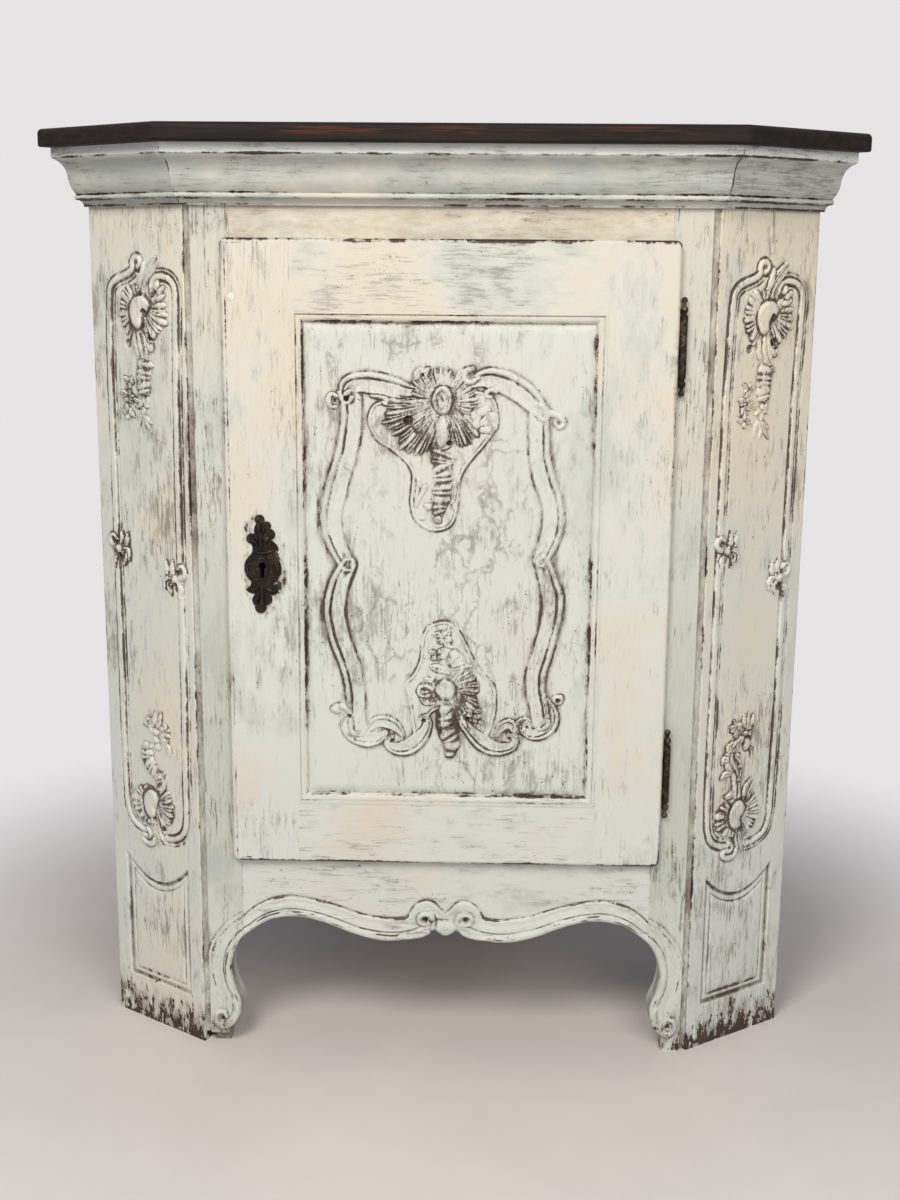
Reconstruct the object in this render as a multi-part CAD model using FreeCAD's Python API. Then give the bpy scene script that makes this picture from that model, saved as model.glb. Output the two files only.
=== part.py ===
import FreeCAD, Part
import math
import os

# A painted corner cabinet with one carved door, canted sides and a scalloped apron.
# All sizes are millimetres and degrees. Front is -Y, up is +Z, and the two walls of the room's corner
# meet behind at 45 degrees to the front. While the pieces are made, y = 0 is the front frame's face.

# Plan and height
overall_height = 1200.0
front_width = 654.0
cant_width = 169.0
cant_angle = 35.0

# Top board
top_thickness = 22.0
top_overhang = 66.0
top_corner_round = 12.0
top_upper_round = 7.0
top_lower_round = 3.0

# Cornice, drops are measured down from the top board
cornice_height = 70.0
cornice_projection = 49.0
fascia_height = 12.0
fascia_step = 4.5
fascia_step_drop = 2.0
cyma_waist_projection = 27.0
cyma_waist_drop = 34.0
cyma_hollow = 4.0
cyma_belly = 2.5
cyma_foot_projection = 15.5
cyma_foot_drop = 55.5
cornice_bead_projection = 18.5
cornice_bead_height = 6.5
cavetto_foot_projection = 6.0
cavetto_hollow = 2.2
cornice_foot_fillet = 1.5

# Front frame
frame_thickness = 30.0
stile_width = 56.5
top_rail_height = 118.0
opening_bottom = 278.0
corner_quirk_width = 9.0
corner_quirk_depth = 4.0
frame_tenon_length = 36.0
frame_tenon_thickness = 10.0
frame_tenon_setback = 10.0
frame_tenon_shoulder = 12.0
mortise_slack = 1.0
peg_diameter = 8.0
peg_depth = 26.0
frame_peg_inset = 16.0
frame_peg_margin = 14.0

# Scalloped apron, heights are above the floor
apron_lobe_height = 162.0
apron_lobe_half_width = 17.0
apron_notch_height = 167.0
apron_scroll_low_offset = 34.0
apron_scroll_low_height = 158.5
apron_dip_offset = 86.0
apron_dip_height = 153.0
apron_rise_offset = 150.0
apron_rise_height = 173.0
apron_arch_inset = 63.5
apron_arch_height = 185.0
apron_shoulder_height = 155.0

# Carved band along the apron and down the feet
band_relief = 4.0
bead_relief = 2.5
bead_width = 11.0
band_valley_offset = 51.0
band_valley_height = 186.5
band_rise_offset = 113.0
band_rise_height = 190.5
band_arch_inset = 73.0
band_arch_height = 214.0
band_fall_inset = 31.0
band_fall_height = 208.0
band_shoulder_height = 184.0
volute_offset = 28.0
volute_height = 188.5
volute_radius = 22.0
volute_relief = 7.0
volute_eye_radius = 5.0
volute_eye_depth = 4.0
lobe_radius = 15.0
lobe_relief = 5.5

# Front feet, insets are measured outwards from the stile's inner edge
foot_neck_inset = 17.0
foot_neck_height = 113.0
foot_bulge_inset = 5.0
foot_bulge_height = 64.0
foot_toe_inset = 22.0
foot_toe_height = 20.0
foot_band_inset = 23.0
foot_band_height = 167.0
foot_band_end_height = 132.0
foot_volute_inset = 26.0
foot_volute_height = 36.0
foot_volute_radius = 17.0
worn_foot_loss = 14.0
foot_block_width = 20.0
foot_block_depth = 22.0

# Canted pilasters, positions across run from the front corner outwards
frame_bead_inset = 20.0
frame_bead_width = 13.0
frame_bead_relief = 3.0
frame_bead_bottom = 262.0
frame_bead_top = 1012.0
frame_bead_foot_round = 38.0
frame_bead_head_round = 30.0
foot_panel_inset = 25.0
foot_panel_bottom = 60.0
foot_panel_top = 242.0
foot_panel_dip = 31.0
foot_panel_depth = 4.0
foot_panel_border = 11.0
foot_panel_field_relief = 2.5

# Back, bottom and shelves
back_thickness = 18.0
back_bottom = 222.0
back_board_count = 3
back_board_gap = 1.5
rear_post_size = 46.0
batten_height = 45.0
batten_depth = 22.0
shelf_thickness = 20.0
lower_shelf_height = 525.0
upper_shelf_height = 785.0
cleat_height = 25.0
cleat_depth = 24.0
nail_head_radius = 3.5
nail_head_height = 1.2
nail_shank_radius = 1.5
nail_length = 32.0
nail_edge_inset = 30.0

# Door frame, its front lip laps over the face frame
lip_overlap = 10.0
lip_thickness = 12.0
lip_seat_gap = 0.3
door_body_depth = 16.0
door_clearance = 2.0
door_corner_round = 8.0
door_edge_round = 5.0
door_stile_width = 87.5
door_top_rail_height = 87.0
door_bottom_rail_height = 82.0
door_tenon_length = 62.0
door_tenon_shoulder = 16.0
panel_groove_width = 7.0
panel_groove_depth = 10.0
panel_groove_setback = 10.5
panel_slack = 1.0
door_peg_inset = 28.0
door_peg_depth = 20.0
door_peg_margin = 24.0
plug_radius = 5.5
plug_depth = 9.0
plug_edge_inset = 13.5
plug_drop = 70.0

# Door panel and the moulding planted round it
moulding_width = 13.0
moulding_proud = 1.0
moulding_flat_width = 3.0
moulding_quirk_width = 1.6
moulding_quirk_depth = 1.8
moulding_ovolo_rise = 1.2
moulding_toe_height = 2.0
moulding_belly = 1.8
panel_margin_setback = 8.0
panel_thickness = 12.0
panel_field_rise = 3.0
panel_bevel_width = 8.0

# Carving in relief: a cartouche with two shells on the door panel, shells and sprigs on the pilasters
cartouche_band_width = 25.0
cartouche_band_relief = 2.2
scroll_roll_width = 11.0
scroll_roll_relief = 5.0
scroll_roll_gap = 0.02
curl_ball_radius = 7.0
shell_plate_relief = 3.0
cabochon_radius = 15.0
cabochon_half_length = 22.0
cabochon_sink = 9.0
boss_sink = 2.0
flute_radius = 4.6
feather_radius = 2.8
lobe_boss_radius = 4.0
rib_radius = 4.3
leaf_radius = 3.6
flower_radius = 7.0
shell_inner = 17.0
shell_outer = 41.0
shell_lobes = 5
kidney_angle = 60.0
kidney_radius = 8.5

# Hinges, one pair of lift-off barrel hinges on the right
barrel_radius = 4.75
barrel_edge_gap = 0.5
hinge_axis_forward = 6.0
hinge_offset_from_middle = 274.0
knuckle_length = 38.5
knuckle_gap = 0.3
hinge_pin_radius = 2.5
hinge_pin_clearance = 0.05
hinge_pin_length = 30.0
finial_ring_radius = 3.2
finial_ball_radius = 4.9
finial_ball_height = 6.5
finial_neck_radius = 2.3
finial_tip_radius = 3.9
finial_tip_height = 18.0
blade_thickness = 2.0
frame_blade_depth = 22.0
door_blade_reach = 32.0

# Lock and escutcheon
keyhole_edge_inset = 46.0
keyhole_height = 666.0
keyhole_round_radius = 4.5
keyhole_slot_width = 5.0
keyhole_slot_length = 16.0
escutcheon_thickness = 2.0
collar_width = 3.0
collar_relief = 1.6
escutcheon_pin_radius = 1.4
escutcheon_pin_length = 14.0
escutcheon_pin_rise = 1.0
escutcheon_upper_pin = 44.0
escutcheon_lower_pin = 40.0
lock_width = 62.0
lock_height = 66.0
lock_depth = 14.0
lock_edge_inset = 6.5
lock_drop = 26.0
lock_back_plate = 2.0
bolt_height = 14.0
bolt_thickness = 7.0
bolt_length = 50.0
bolt_travel = 14.0
bolt_proud = 2.0
bolt_clearance = 0.3
bolt_setback = 3.0
bolt_drop = 10.0
keeper_thickness = 2.0
keeper_border = 9.0
keeper_slack = 1.2
lock_screw_radius = 1.8
lock_screw_head_radius = 3.4
lock_screw_head_height = 1.5
lock_screw_inset = 6.0
lock_screw_bite = 9.0

# Worked out from the sizes above
vec = FreeCAD.Vector
up = vec(0, 0, 1)
root_two = math.sqrt(2.0)
turn = math.radians(cant_angle)
mitre_slope = math.tan(turn / 2)
half_front = front_width / 2
along_cant = vec(math.cos(turn), math.sin(turn), 0)
into_cant = vec(-math.sin(turn), math.cos(turn), 0)
along_wall = vec(-1, 1, 0) / root_two
from_wall = vec(-1, -1, 0) / root_two
rear_corner = half_front + cant_width * (math.cos(turn) + math.sin(turn))
plan_middle = (rear_corner - top_overhang) / 2
carcass_top = overall_height - top_thickness
half_opening = half_front - stile_width
opening_top = carcass_top - top_rail_height
door_front = -lip_seat_gap - lip_thickness
door_half_width = half_opening + lip_overlap
door_bottom = opening_bottom - lip_overlap
door_top = opening_top + lip_overlap
panel_half_width = door_half_width - door_stile_width
panel_bottom = door_bottom + door_bottom_rail_height
panel_top = door_top - door_top_rail_height
panel_middle = (panel_bottom + panel_top) / 2
groove_front = door_front + panel_groove_setback
hinge_x = door_half_width + barrel_edge_gap + barrel_radius
hinge_y = -hinge_axis_forward
door_middle = (door_bottom + door_top) / 2
hinge_heights = {
    "lower": door_middle - hinge_offset_from_middle,
    "upper": door_middle + hinge_offset_from_middle,
}
keyhole_x = keyhole_edge_inset - door_half_width
lock_left = lock_edge_inset + door_clearance - half_opening
lock_bottom = keyhole_height - lock_drop
bolt_left = lock_left - bolt_proud
bolt_top = lock_bottom + lock_height - bolt_drop
bolt_front = door_body_depth + bolt_setback

parts = {}


def mirrored(shape):
    """The same form on the other side of the middle plane."""
    return shape.mirror(vec(0, 0, 0), vec(1, 0, 0))


def box(low, high):
    size = vec(*high) - vec(*low)
    return Part.makeBox(size.x, size.y, size.z, vec(*low))


def fused(first, *others):
    return first.fuse(list(others)).removeSplitter()


def face(place, start, *steps):
    """A flat face. A step of one point is a line, of two an arc, and of more a curve through them."""
    first = place(*start)
    here = first
    edges = []
    for step in steps:
        points = [place(*p) for p in step]
        if len(points) == 1:
            edges.append(Part.LineSegment(here, points[0]).toShape())
        elif len(points) == 2:
            edges.append(Part.Arc(here, points[0], points[1]).toShape())
        else:
            curve = Part.BSplineCurve()
            curve.interpolate([here] + points)
            edges.append(curve.toShape())
        here = points[-1]
    if here.distanceToPoint(first) > 1e-6:
        edges.append(Part.LineSegment(here, first).toShape())
    return Part.Face(Part.Wire(edges))


def prism(points, low, high):
    """An upright block over a plan outline."""
    raised = [vec(p.x, p.y, low) for p in points]
    return Part.Face(Part.makePolygon(raised + raised[:1])).extrude(vec(0, 0, high - low))


def bowed(a, b, sag):
    """The middle of an arc from a to b that bows to the left of the way from a to b."""
    run = math.hypot(b[0] - a[0], b[1] - a[1])
    across = (-(b[1] - a[1]) / run, (b[0] - a[0]) / run)
    return ((a[0] + b[0]) / 2 + sag * across[0], (a[1] + b[1]) / 2 + sag * across[1])


def on_front(y):
    """Places x, z points on a plane parallel to the front."""
    return lambda x, z: vec(x, y, z)


def on_cant(depth):
    """Places points across and up the right canted side, at a depth below its face."""
    start = vec(half_front, 0, 0) + into_cant * depth
    return lambda across, z: start + along_cant * across + up * z


# Plan points on the right side, for a line that runs parallel to the front and the canted side
def corner_at(outward):
    return vec(half_front + outward * mitre_slope, -outward, 0)


def end_at(outward, wall_inset=0.0):
    start = corner_at(outward)
    wall = rear_corner - wall_inset * root_two
    run = (wall - start.x - start.y) / (along_cant.x + along_cant.y)
    return start + along_cant * run


def other_side(point):
    return vec(-point.x, point.y, point.z)


def plan_outline(outward, wall_inset=0.0):
    corner = corner_at(outward)
    end = end_at(outward, wall_inset)
    rear = vec(0, rear_corner - wall_inset * root_two, 0)
    return [other_side(corner), corner, end, rear, other_side(end)]


def make_top_board():
    board = prism(plan_outline(top_overhang), carcass_top, overall_height)
    shown = [e for e in board.Edges if e.CenterOfMass.y + abs(e.CenterOfMass.x) < rear_corner - top_corner_round]
    upright = [e for e in shown if abs(e.tangentAt(e.FirstParameter).z) > 0.5]
    board = board.makeFillet(top_corner_round, upright)
    for height, radius in ((overall_height, top_upper_round), (carcass_top, top_lower_round)):
        arris = [
            e for e in board.Edges
            if abs(e.CenterOfMass.z - height) < 1e-3
            and e.CenterOfMass.y + abs(e.CenterOfMass.x) < rear_corner - top_corner_round
        ]
        board = board.makeFillet(radius, arris)
    parts["top_board"] = board


def cornice_profile(place):
    """The moulding's section, as outward and height below the top board."""
    fascia_foot = (cornice_projection, -fascia_height)
    cyma_head = (cornice_projection - fascia_step, -fascia_height - fascia_step_drop)
    waist = (cyma_waist_projection, -cyma_waist_drop)
    cyma_foot = (cyma_foot_projection, -cyma_foot_drop)
    bead_nose = (cornice_bead_projection, -cyma_foot_drop - cornice_bead_height / 2)
    bead_foot = (cyma_foot_projection, -cyma_foot_drop - cornice_bead_height)
    cavetto_foot = (cavetto_foot_projection, cornice_foot_fillet - cornice_height)
    return face(
        place,
        (0, 0),
        [(cornice_projection, 0)],
        [fascia_foot],
        [cyma_head],
        [bowed(cyma_head, waist, -cyma_hollow), waist],
        [bowed(waist, cyma_foot, cyma_belly), cyma_foot],
        [bead_nose, bead_foot],
        [bowed(bead_foot, cavetto_foot, -cavetto_hollow), cavetto_foot],
        [(cavetto_foot_projection, -cornice_height)],
        [(0, -cornice_height)],
    )


def make_cornice():
    low = carcass_top - cornice_height
    reach = half_front + top_overhang
    run = cornice_profile(lambda out, z: vec(-reach, -out, carcass_top + z)).extrude(vec(2 * reach, 0, 0))
    corner_in = corner_at(0)
    corner_out = corner_at(top_overhang)
    plan = [other_side(corner_in), corner_in, corner_out, other_side(corner_out)]
    parts["front_cornice"] = run.common(prism(plan, low, carcass_top))
    start = corner_at(0) - along_cant * top_overhang + up * carcass_top
    run = cornice_profile(lambda out, z: start - into_cant * out + up * z)
    run = run.extrude(along_cant * (cant_width + 2 * top_overhang))
    side = run.common(prism([corner_in, end_at(0), end_at(top_overhang), corner_out], low, carcass_top))
    parts["right_cornice"] = side
    parts["left_cornice"] = mirrored(side)


# Right half of the apron's lower edge, from its notch beside the middle lobe out to the stile
apron_edge = [
    (apron_lobe_half_width, apron_notch_height),
    (apron_scroll_low_offset, apron_scroll_low_height),
    (apron_dip_offset, apron_dip_height),
    (apron_rise_offset, apron_rise_height),
    (half_opening - apron_arch_inset, apron_arch_height),
    (half_opening, apron_shoulder_height),
]
# The foot's inner edge, from the same shoulder down to the toe
foot_edge = [
    (half_opening, apron_shoulder_height),
    (half_opening + foot_neck_inset, foot_neck_height),
    (half_opening + foot_bulge_inset, foot_bulge_height),
    (half_opening + foot_toe_inset, foot_toe_height),
]


def shifted(points, dx, dz):
    return [(x + dx, z + dz) for x, z in points]


def apron_band(front, back):
    """The carved band on the right half of the apron, with its bead, volute and half of the lobe."""
    depth = vec(0, back - front, 0)
    over_volute = (volute_offset, volute_height + volute_radius)
    valley = (band_valley_offset, band_valley_height)
    upper_line = [
        (band_rise_offset, band_rise_height),
        (half_opening - band_arch_inset, band_arch_height),
        (half_opening - band_fall_inset, band_fall_height),
        (half_opening, band_shoulder_height),
    ]
    band = face(
        on_front(front),
        (0, apron_lobe_height),
        [apron_edge[0]],
        apron_edge[1:],
        [(half_opening, band_shoulder_height)],
        upper_line[-2::-1] + [valley],
        [over_volute, (0, volute_height)],
    ).extrude(depth)
    bead_front = front - bead_relief
    raised_edge = shifted(apron_edge, 0, bead_width)
    bead = face(
        on_front(bead_front),
        apron_edge[0],
        apron_edge[1:],
        [raised_edge[-1]],
        raised_edge[-2::-1],
    ).extrude(depth)
    volute = Part.makeCylinder(
        volute_radius, volute_relief + back, vec(volute_offset, -volute_relief, volute_height), vec(0, 1, 0)
    )
    eye = Part.makeCylinder(
        volute_eye_radius, volute_eye_depth, vec(volute_offset, -volute_relief, volute_height), vec(0, 1, 0)
    )
    lobe = Part.makeCylinder(
        lobe_radius, lobe_relief + back, vec(0, -lobe_relief, apron_lobe_height + lobe_radius), vec(0, 1, 0)
    )
    return fused(band, bead, volute, lobe).cut(eye)


def frame_tenon(low, high):
    """A rail's right tenon, or the mortise for it when the slack is added."""
    return lambda slack: box(
        (half_opening, frame_tenon_setback, low),
        (half_opening + frame_tenon_length + slack, frame_tenon_setback + frame_tenon_thickness, high),
    )


top_tenon_span = (opening_top + frame_tenon_shoulder, carcass_top - frame_tenon_shoulder)
apron_tenon_span = (band_shoulder_height + frame_tenon_shoulder, opening_bottom - frame_tenon_shoulder)
top_tenon = frame_tenon(*top_tenon_span)
apron_tenon = frame_tenon(*apron_tenon_span)


def frame_pegs():
    """The four pegs that lock the right stile's two tenons."""
    heights = []
    for low, high in (top_tenon_span, apron_tenon_span):
        heights += [low + frame_peg_margin, high - frame_peg_margin]
    return [
        Part.makeCylinder(peg_diameter / 2, peg_depth, vec(half_opening + frame_peg_inset, 0, z), vec(0, 1, 0))
        for z in heights
    ]


def frame_blade(height):
    """The upright blade of a hinge's fixed half, let into the right stile."""
    return box(
        (hinge_x - blade_thickness / 2, hinge_y, height - knuckle_length),
        (hinge_x + blade_thickness / 2, frame_blade_depth, height - knuckle_gap / 2),
    )


def bolt_pocket(slack, depth):
    """The room for the thrown bolt in the left stile."""
    return box(
        (-half_opening - depth, bolt_front - slack, bolt_top - bolt_height - slack),
        (-half_opening, bolt_front + bolt_thickness + slack, bolt_top + slack),
    )


def stile_blank():
    """The right front stile with its shaped foot, before it is cut for what joins it."""
    outline = face(
        on_front(0),
        foot_edge[0],
        foot_edge[1:],
        [(foot_edge[-1][0], 0)],
        [(half_front, 0)],
        [(half_front, carcass_top)],
        [(half_opening, carcass_top)],
    ).extrude(vec(0, frame_thickness, 0))
    plan = [
        vec(half_opening, 0, 0),
        vec(half_front - corner_quirk_width, 0, 0),
        vec(half_front - corner_quirk_width, corner_quirk_depth, 0),
        corner_at(-corner_quirk_depth),
        corner_at(-frame_thickness),
        vec(half_opening, frame_thickness, 0),
    ]
    board = outline.common(prism(plan, 0, carcass_top))
    quirk = half_front - corner_quirk_width
    band = face(
        on_front(-band_relief),
        foot_edge[0],
        foot_edge[1:],
        [(foot_edge[-1][0], 0)],
        [(quirk, 0)],
        [(quirk, foot_band_end_height)],
        [(half_opening + foot_band_inset, foot_band_height), (half_opening, band_shoulder_height)],
    ).extrude(vec(0, band_relief + corner_quirk_depth, 0))
    bead_front = -band_relief - bead_relief
    outer_edge = shifted(foot_edge, bead_width, 0)
    bead = face(
        on_front(bead_front),
        foot_edge[0],
        foot_edge[1:],
        [outer_edge[-1]],
        outer_edge[-2::-1],
    ).extrude(vec(0, corner_quirk_depth - bead_front, 0))
    within = box((half_opening, -volute_relief, 0), (quirk, frame_thickness, carcass_top))
    bead = bead.common(within)
    volute = Part.makeCylinder(
        foot_volute_radius,
        volute_relief + corner_quirk_depth,
        vec(half_opening + foot_volute_inset, -volute_relief, foot_volute_height),
        vec(0, 1, 0),
    ).common(within)
    return fused(board, band, bead, volute)


def make_stiles():
    blank = stile_blank()
    cuts = [top_tenon(mortise_slack), apron_tenon(mortise_slack)] + frame_pegs()
    blades = [frame_blade(height) for height in hinge_heights.values()]
    parts["right_front_stile"] = blank.cut(cuts + blades)
    pocket = bolt_pocket(keeper_slack, bolt_travel + keeper_slack)
    keeper_bed = bolt_pocket(keeper_border, keeper_thickness)
    loss = box((-half_front, -volute_relief, 0), (-half_opening, frame_thickness, worn_foot_loss))
    parts["left_front_stile"] = mirrored(blank.cut(cuts)).cut([pocket, keeper_bed, loss])
    block_inner = half_opening + foot_toe_inset
    parts["left_foot_block"] = box(
        (-block_inner - foot_block_width, frame_thickness - foot_block_depth, 0),
        (-block_inner, frame_thickness, worn_foot_loss),
    )
    keeper_plate = keeper_bed.common(box((-half_front, 0, 0), (0, frame_thickness, carcass_top)))
    parts["lock_keeper"] = keeper_plate.cut(pocket)


def make_rails():
    def with_tenons(rail, tenon):
        return fused(rail, tenon(0), mirrored(tenon(0)))

    pegs = frame_pegs()
    all_pegs = pegs + [mirrored(p) for p in pegs]
    top_rail = box((-half_opening, 0, opening_top), (half_opening, frame_thickness, carcass_top))
    parts["top_rail"] = with_tenons(top_rail, top_tenon).cut(all_pegs)
    half = face(
        on_front(0),
        (0, apron_lobe_height),
        [apron_edge[0]],
        apron_edge[1:],
        [(half_opening, opening_bottom)],
        [(0, opening_bottom)],
    ).extrude(vec(0, frame_thickness, 0))
    band = apron_band(-band_relief, corner_quirk_depth)
    apron = fused(half, mirrored(half), band, mirrored(band))
    parts["apron_rail"] = with_tenons(apron, apron_tenon).cut(all_pegs)
    parts["frame_tenon_pegs"] = Part.makeCompound(all_pegs)


def rounded_frame(place, inset):
    """The pilaster's tall frame outline, at an inset from the frame bead's outer edge."""
    left = frame_bead_inset + inset
    right = cant_width - frame_bead_inset - inset
    low = frame_bead_bottom + inset
    high = frame_bead_top - inset
    foot = frame_bead_foot_round - inset
    head = frame_bead_head_round - inset
    bend = 1 - math.sqrt(0.5)
    return face(
        place,
        (left + foot, low),
        [(right - foot, low)],
        [(right - foot * bend, low + foot * bend), (right, low + foot)],
        [(right, high - head)],
        [(right - head * bend, high - head * bend), (right - head, high)],
        [(left + head, high)],
        [(left + head * bend, high - head * bend), (left, high - head)],
        [(left, low + foot)],
        [(left + foot * bend, low + foot * bend), (left + foot, low)],
    )


def foot_panel(place, inset):
    """The small panel at the pilaster's foot, whose top edge dips in the middle."""
    left = foot_panel_inset + inset
    right = cant_width - foot_panel_inset - inset
    low = foot_panel_bottom + inset
    high = foot_panel_top - inset
    return face(
        place,
        (left, low),
        [(right, low)],
        [(right, high)],
        [(cant_width / 2, high - foot_panel_dip), (left, high)],
    )


# Forms carved in relief. A place puts points of a drawing on the carved plane.
def egg(place, start, end, radius):
    """A long round boss from one point to another."""
    foot, head = place(*start), place(*end)
    middle = (foot + head) / 2
    outward = (place(1, 0) - place(0, 0)).cross(place(0, 1) - place(0, 0)).normalize()
    half = Part.Ellipse(head, middle + outward * radius, middle).toShape(0, math.pi)
    outline = Part.Face(Part.Wire([half, Part.LineSegment(foot, head).toShape()]))
    return outline.revolve(middle, head - foot, 360)


def beyond(centre, degrees, reach):
    angle = math.radians(degrees)
    return (centre[0] + reach * math.cos(angle), centre[1] + reach * math.sin(angle))


def fan(place, centre, start, end, count, inner, outer, radius):
    """Bosses spread round a centre like the flutes of a shell."""
    step = (end - start) / (count - 1)
    return [
        egg(place, beyond(centre, start + k * step, inner), beyond(centre, start + k * step, outer), radius)
        for k in range(count)
    ]


def rib_stem(place, radius, head, tail, count, head_half, tail_half):
    """A row of ribs that gets narrower towards its tail."""
    ribs = []
    for k in range(count):
        share = k / (count - 1)
        x = head[0] + share * (tail[0] - head[0])
        z = head[1] + share * (tail[1] - head[1])
        half = head_half + share * (tail_half - head_half)
        ribs.append(egg(place, (x - half, z), (x + half, z), radius))
    return ribs


def carved_roll(place, points, width, relief, start_gap=0.0, end_gap=0.0):
    """A half-round roll along a curve, rooted under the carved plane. The gaps are shares of its length."""
    curve = Part.BSplineCurve()
    curve.interpolate([place(*p) for p in points])
    span = curve.LastParameter - curve.FirstParameter
    curve.segment(curve.FirstParameter + start_gap * span, curve.LastParameter - end_gap * span)
    start = curve.value(curve.FirstParameter)
    inward = vec(0, 1, 0)
    half = curve.tangent(curve.FirstParameter)[0].cross(inward) * (width / 2)
    depth = inward * relief
    left, right = start - half, start + half
    section = Part.Wire([
        Part.Arc(left, start - depth, right).toShape(),
        Part.LineSegment(right, right + depth).toShape(),
        Part.LineSegment(right + depth, left + depth).toShape(),
        Part.LineSegment(left + depth, left).toShape(),
    ])
    sweep = Part.BRepOffsetAPI.MakePipeShell(Part.Wire(curve.toShape()))
    sweep.setBiNormalMode(inward)
    sweep.add(section)
    sweep.build()
    sweep.makeSolid()
    return sweep.shape()


# Shells and sprigs of the pilaster, across from the front corner and above the frame bead's head or foot.
# Each side of a shell has its first and last angle.
shell_sides = [(-62.0, 32.0), (146.0, 240.0)]
pilaster_sprigs = [
    {
        "level": frame_bead_top,
        "shell": (82.0, -36.0),
        "stem": [(85.0, -91.0), (85.0, -131.0), 5, 17.0, 12.0],
        "leaves": [
            [(78.0, -144.0), (68.0, -180.0)],
            [(85.0, -145.0), (84.0, -184.0)],
            [(92.0, -144.0), (101.0, -178.0)],
        ],
        "flowers": [(55.0, -126.0), (52.0, -150.0)],
    },
    {
        "level": frame_bead_bottom,
        "shell": (76.0, 60.0),
        "stem": [(76.0, 109.0), (74.0, 139.0), 4, 9.0, 10.0],
        "leaves": [
            [(88.0, 104.0), (100.0, 134.0)],
            [(62.0, 104.0), (50.0, 130.0)],
            [(70.0, 150.0), (60.0, 172.0)],
            [(80.0, 152.0), (88.0, 178.0)],
        ],
        "flowers": [(56.0, 186.0), (92.0, 192.0)],
    },
]


def pilaster_carving():
    """Two shells with a kidney boss each, a ribbed stem, leaves and flowers, on the right pilaster."""
    carving = []
    for sprig in pilaster_sprigs:
        def place(across, above):
            return on_cant(boss_sink)(across, sprig["level"] + above)

        shell = sprig["shell"]
        for first, last in shell_sides:
            carving += fan(place, shell, first, last, shell_lobes, shell_inner, shell_outer, lobe_boss_radius)
        kidney = [beyond(shell, kidney_angle, reach) for reach in (-cabochon_radius, cabochon_radius)]
        carving.append(egg(place, *kidney, kidney_radius))
        carving += rib_stem(place, rib_radius, *sprig["stem"])
        carving += [egg(place, foot, tip, leaf_radius) for foot, tip in sprig["leaves"]]
        carving += [Part.makeSphere(flower_radius, place(*centre)) for centre in sprig["flowers"]]
    return carving


def make_pilasters():
    plan = [corner_at(0), end_at(0), end_at(-frame_thickness), corner_at(-frame_thickness)]
    board = prism(plan, 0, carcass_top)
    bead_depth = into_cant * (frame_bead_relief + foot_panel_depth)
    outer = rounded_frame(on_cant(-frame_bead_relief), 0).extrude(bead_depth)
    inner = rounded_frame(on_cant(-frame_bead_relief), frame_bead_width).extrude(bead_depth)
    recess = foot_panel(on_cant(-foot_panel_depth), 0).extrude(into_cant * (2 * foot_panel_depth))
    field_depth = into_cant * (foot_panel_field_relief + foot_panel_depth)
    field_front = foot_panel_depth - foot_panel_field_relief
    field = foot_panel(on_cant(field_front), foot_panel_border).extrude(field_depth)
    pilaster = fused(board.cut(recess), outer.cut(inner), field, *pilaster_carving())
    parts["right_pilaster"] = pilaster
    parts["left_pilaster"] = mirrored(pilaster)


rear_inner = rear_corner - back_thickness * root_two
post_side = vec(rear_post_size / root_two, rear_inner - rear_post_size / root_two, 0)


def post_block(low, high):
    tip = vec(0, rear_inner, 0)
    front = vec(0, rear_inner - rear_post_size * root_two, 0)
    return prism([tip, post_side, front, other_side(post_side)], low, high)


def wall_rail(low, high, depth):
    """A rail along the right back wall, from the pilaster to the rear post."""
    outer = end_at(-frame_thickness, back_thickness)
    inner = end_at(-frame_thickness, back_thickness + depth)
    return prism([outer, post_side, post_side + from_wall * depth, inner], low, high)


def pilaster_cleat(low, high):
    """A short cleat behind the right pilaster, up to the wall cleat's side."""
    behind = -frame_thickness - cleat_depth
    wall_side = back_thickness + cleat_depth
    plan = [
        corner_at(-frame_thickness),
        end_at(-frame_thickness, wall_side),
        end_at(behind, wall_side),
        corner_at(behind),
    ]
    return prism(plan, low, high)


board_heights = {
    "bottom_board": opening_bottom - shelf_thickness,
    "lower_shelf": lower_shelf_height,
    "upper_shelf": upper_shelf_height,
}


def make_inside():
    parts["rear_post"] = post_block(0, carcass_top)
    for name, height in board_heights.items():
        board = prism(plan_outline(-frame_thickness, back_thickness), height, height + shelf_thickness)
        parts[name] = board.cut(parts["rear_post"])
    wall_cleats = [wall_rail(z - cleat_height, z, cleat_depth) for z in board_heights.values()]
    short_cleats = [pilaster_cleat(z - cleat_height, z) for z in board_heights.values()]
    parts["right_wall_cleats"] = Part.makeCompound(wall_cleats)
    parts["left_wall_cleats"] = Part.makeCompound([mirrored(c) for c in wall_cleats])
    parts["right_pilaster_cleats"] = Part.makeCompound(short_cleats)
    parts["left_pilaster_cleats"] = Part.makeCompound([mirrored(c) for c in short_cleats])
    near = corner_at(-frame_thickness)
    far = corner_at(-frame_thickness - cleat_depth)
    parts["bottom_front_cleat"] = prism(
        [other_side(near), near, far, other_side(far)],
        board_heights["bottom_board"] - cleat_height,
        board_heights["bottom_board"],
    )
    batten = wall_rail(carcass_top - batten_height, carcass_top, batten_depth)
    parts["right_top_batten"] = batten
    parts["left_top_batten"] = mirrored(batten)


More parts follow.
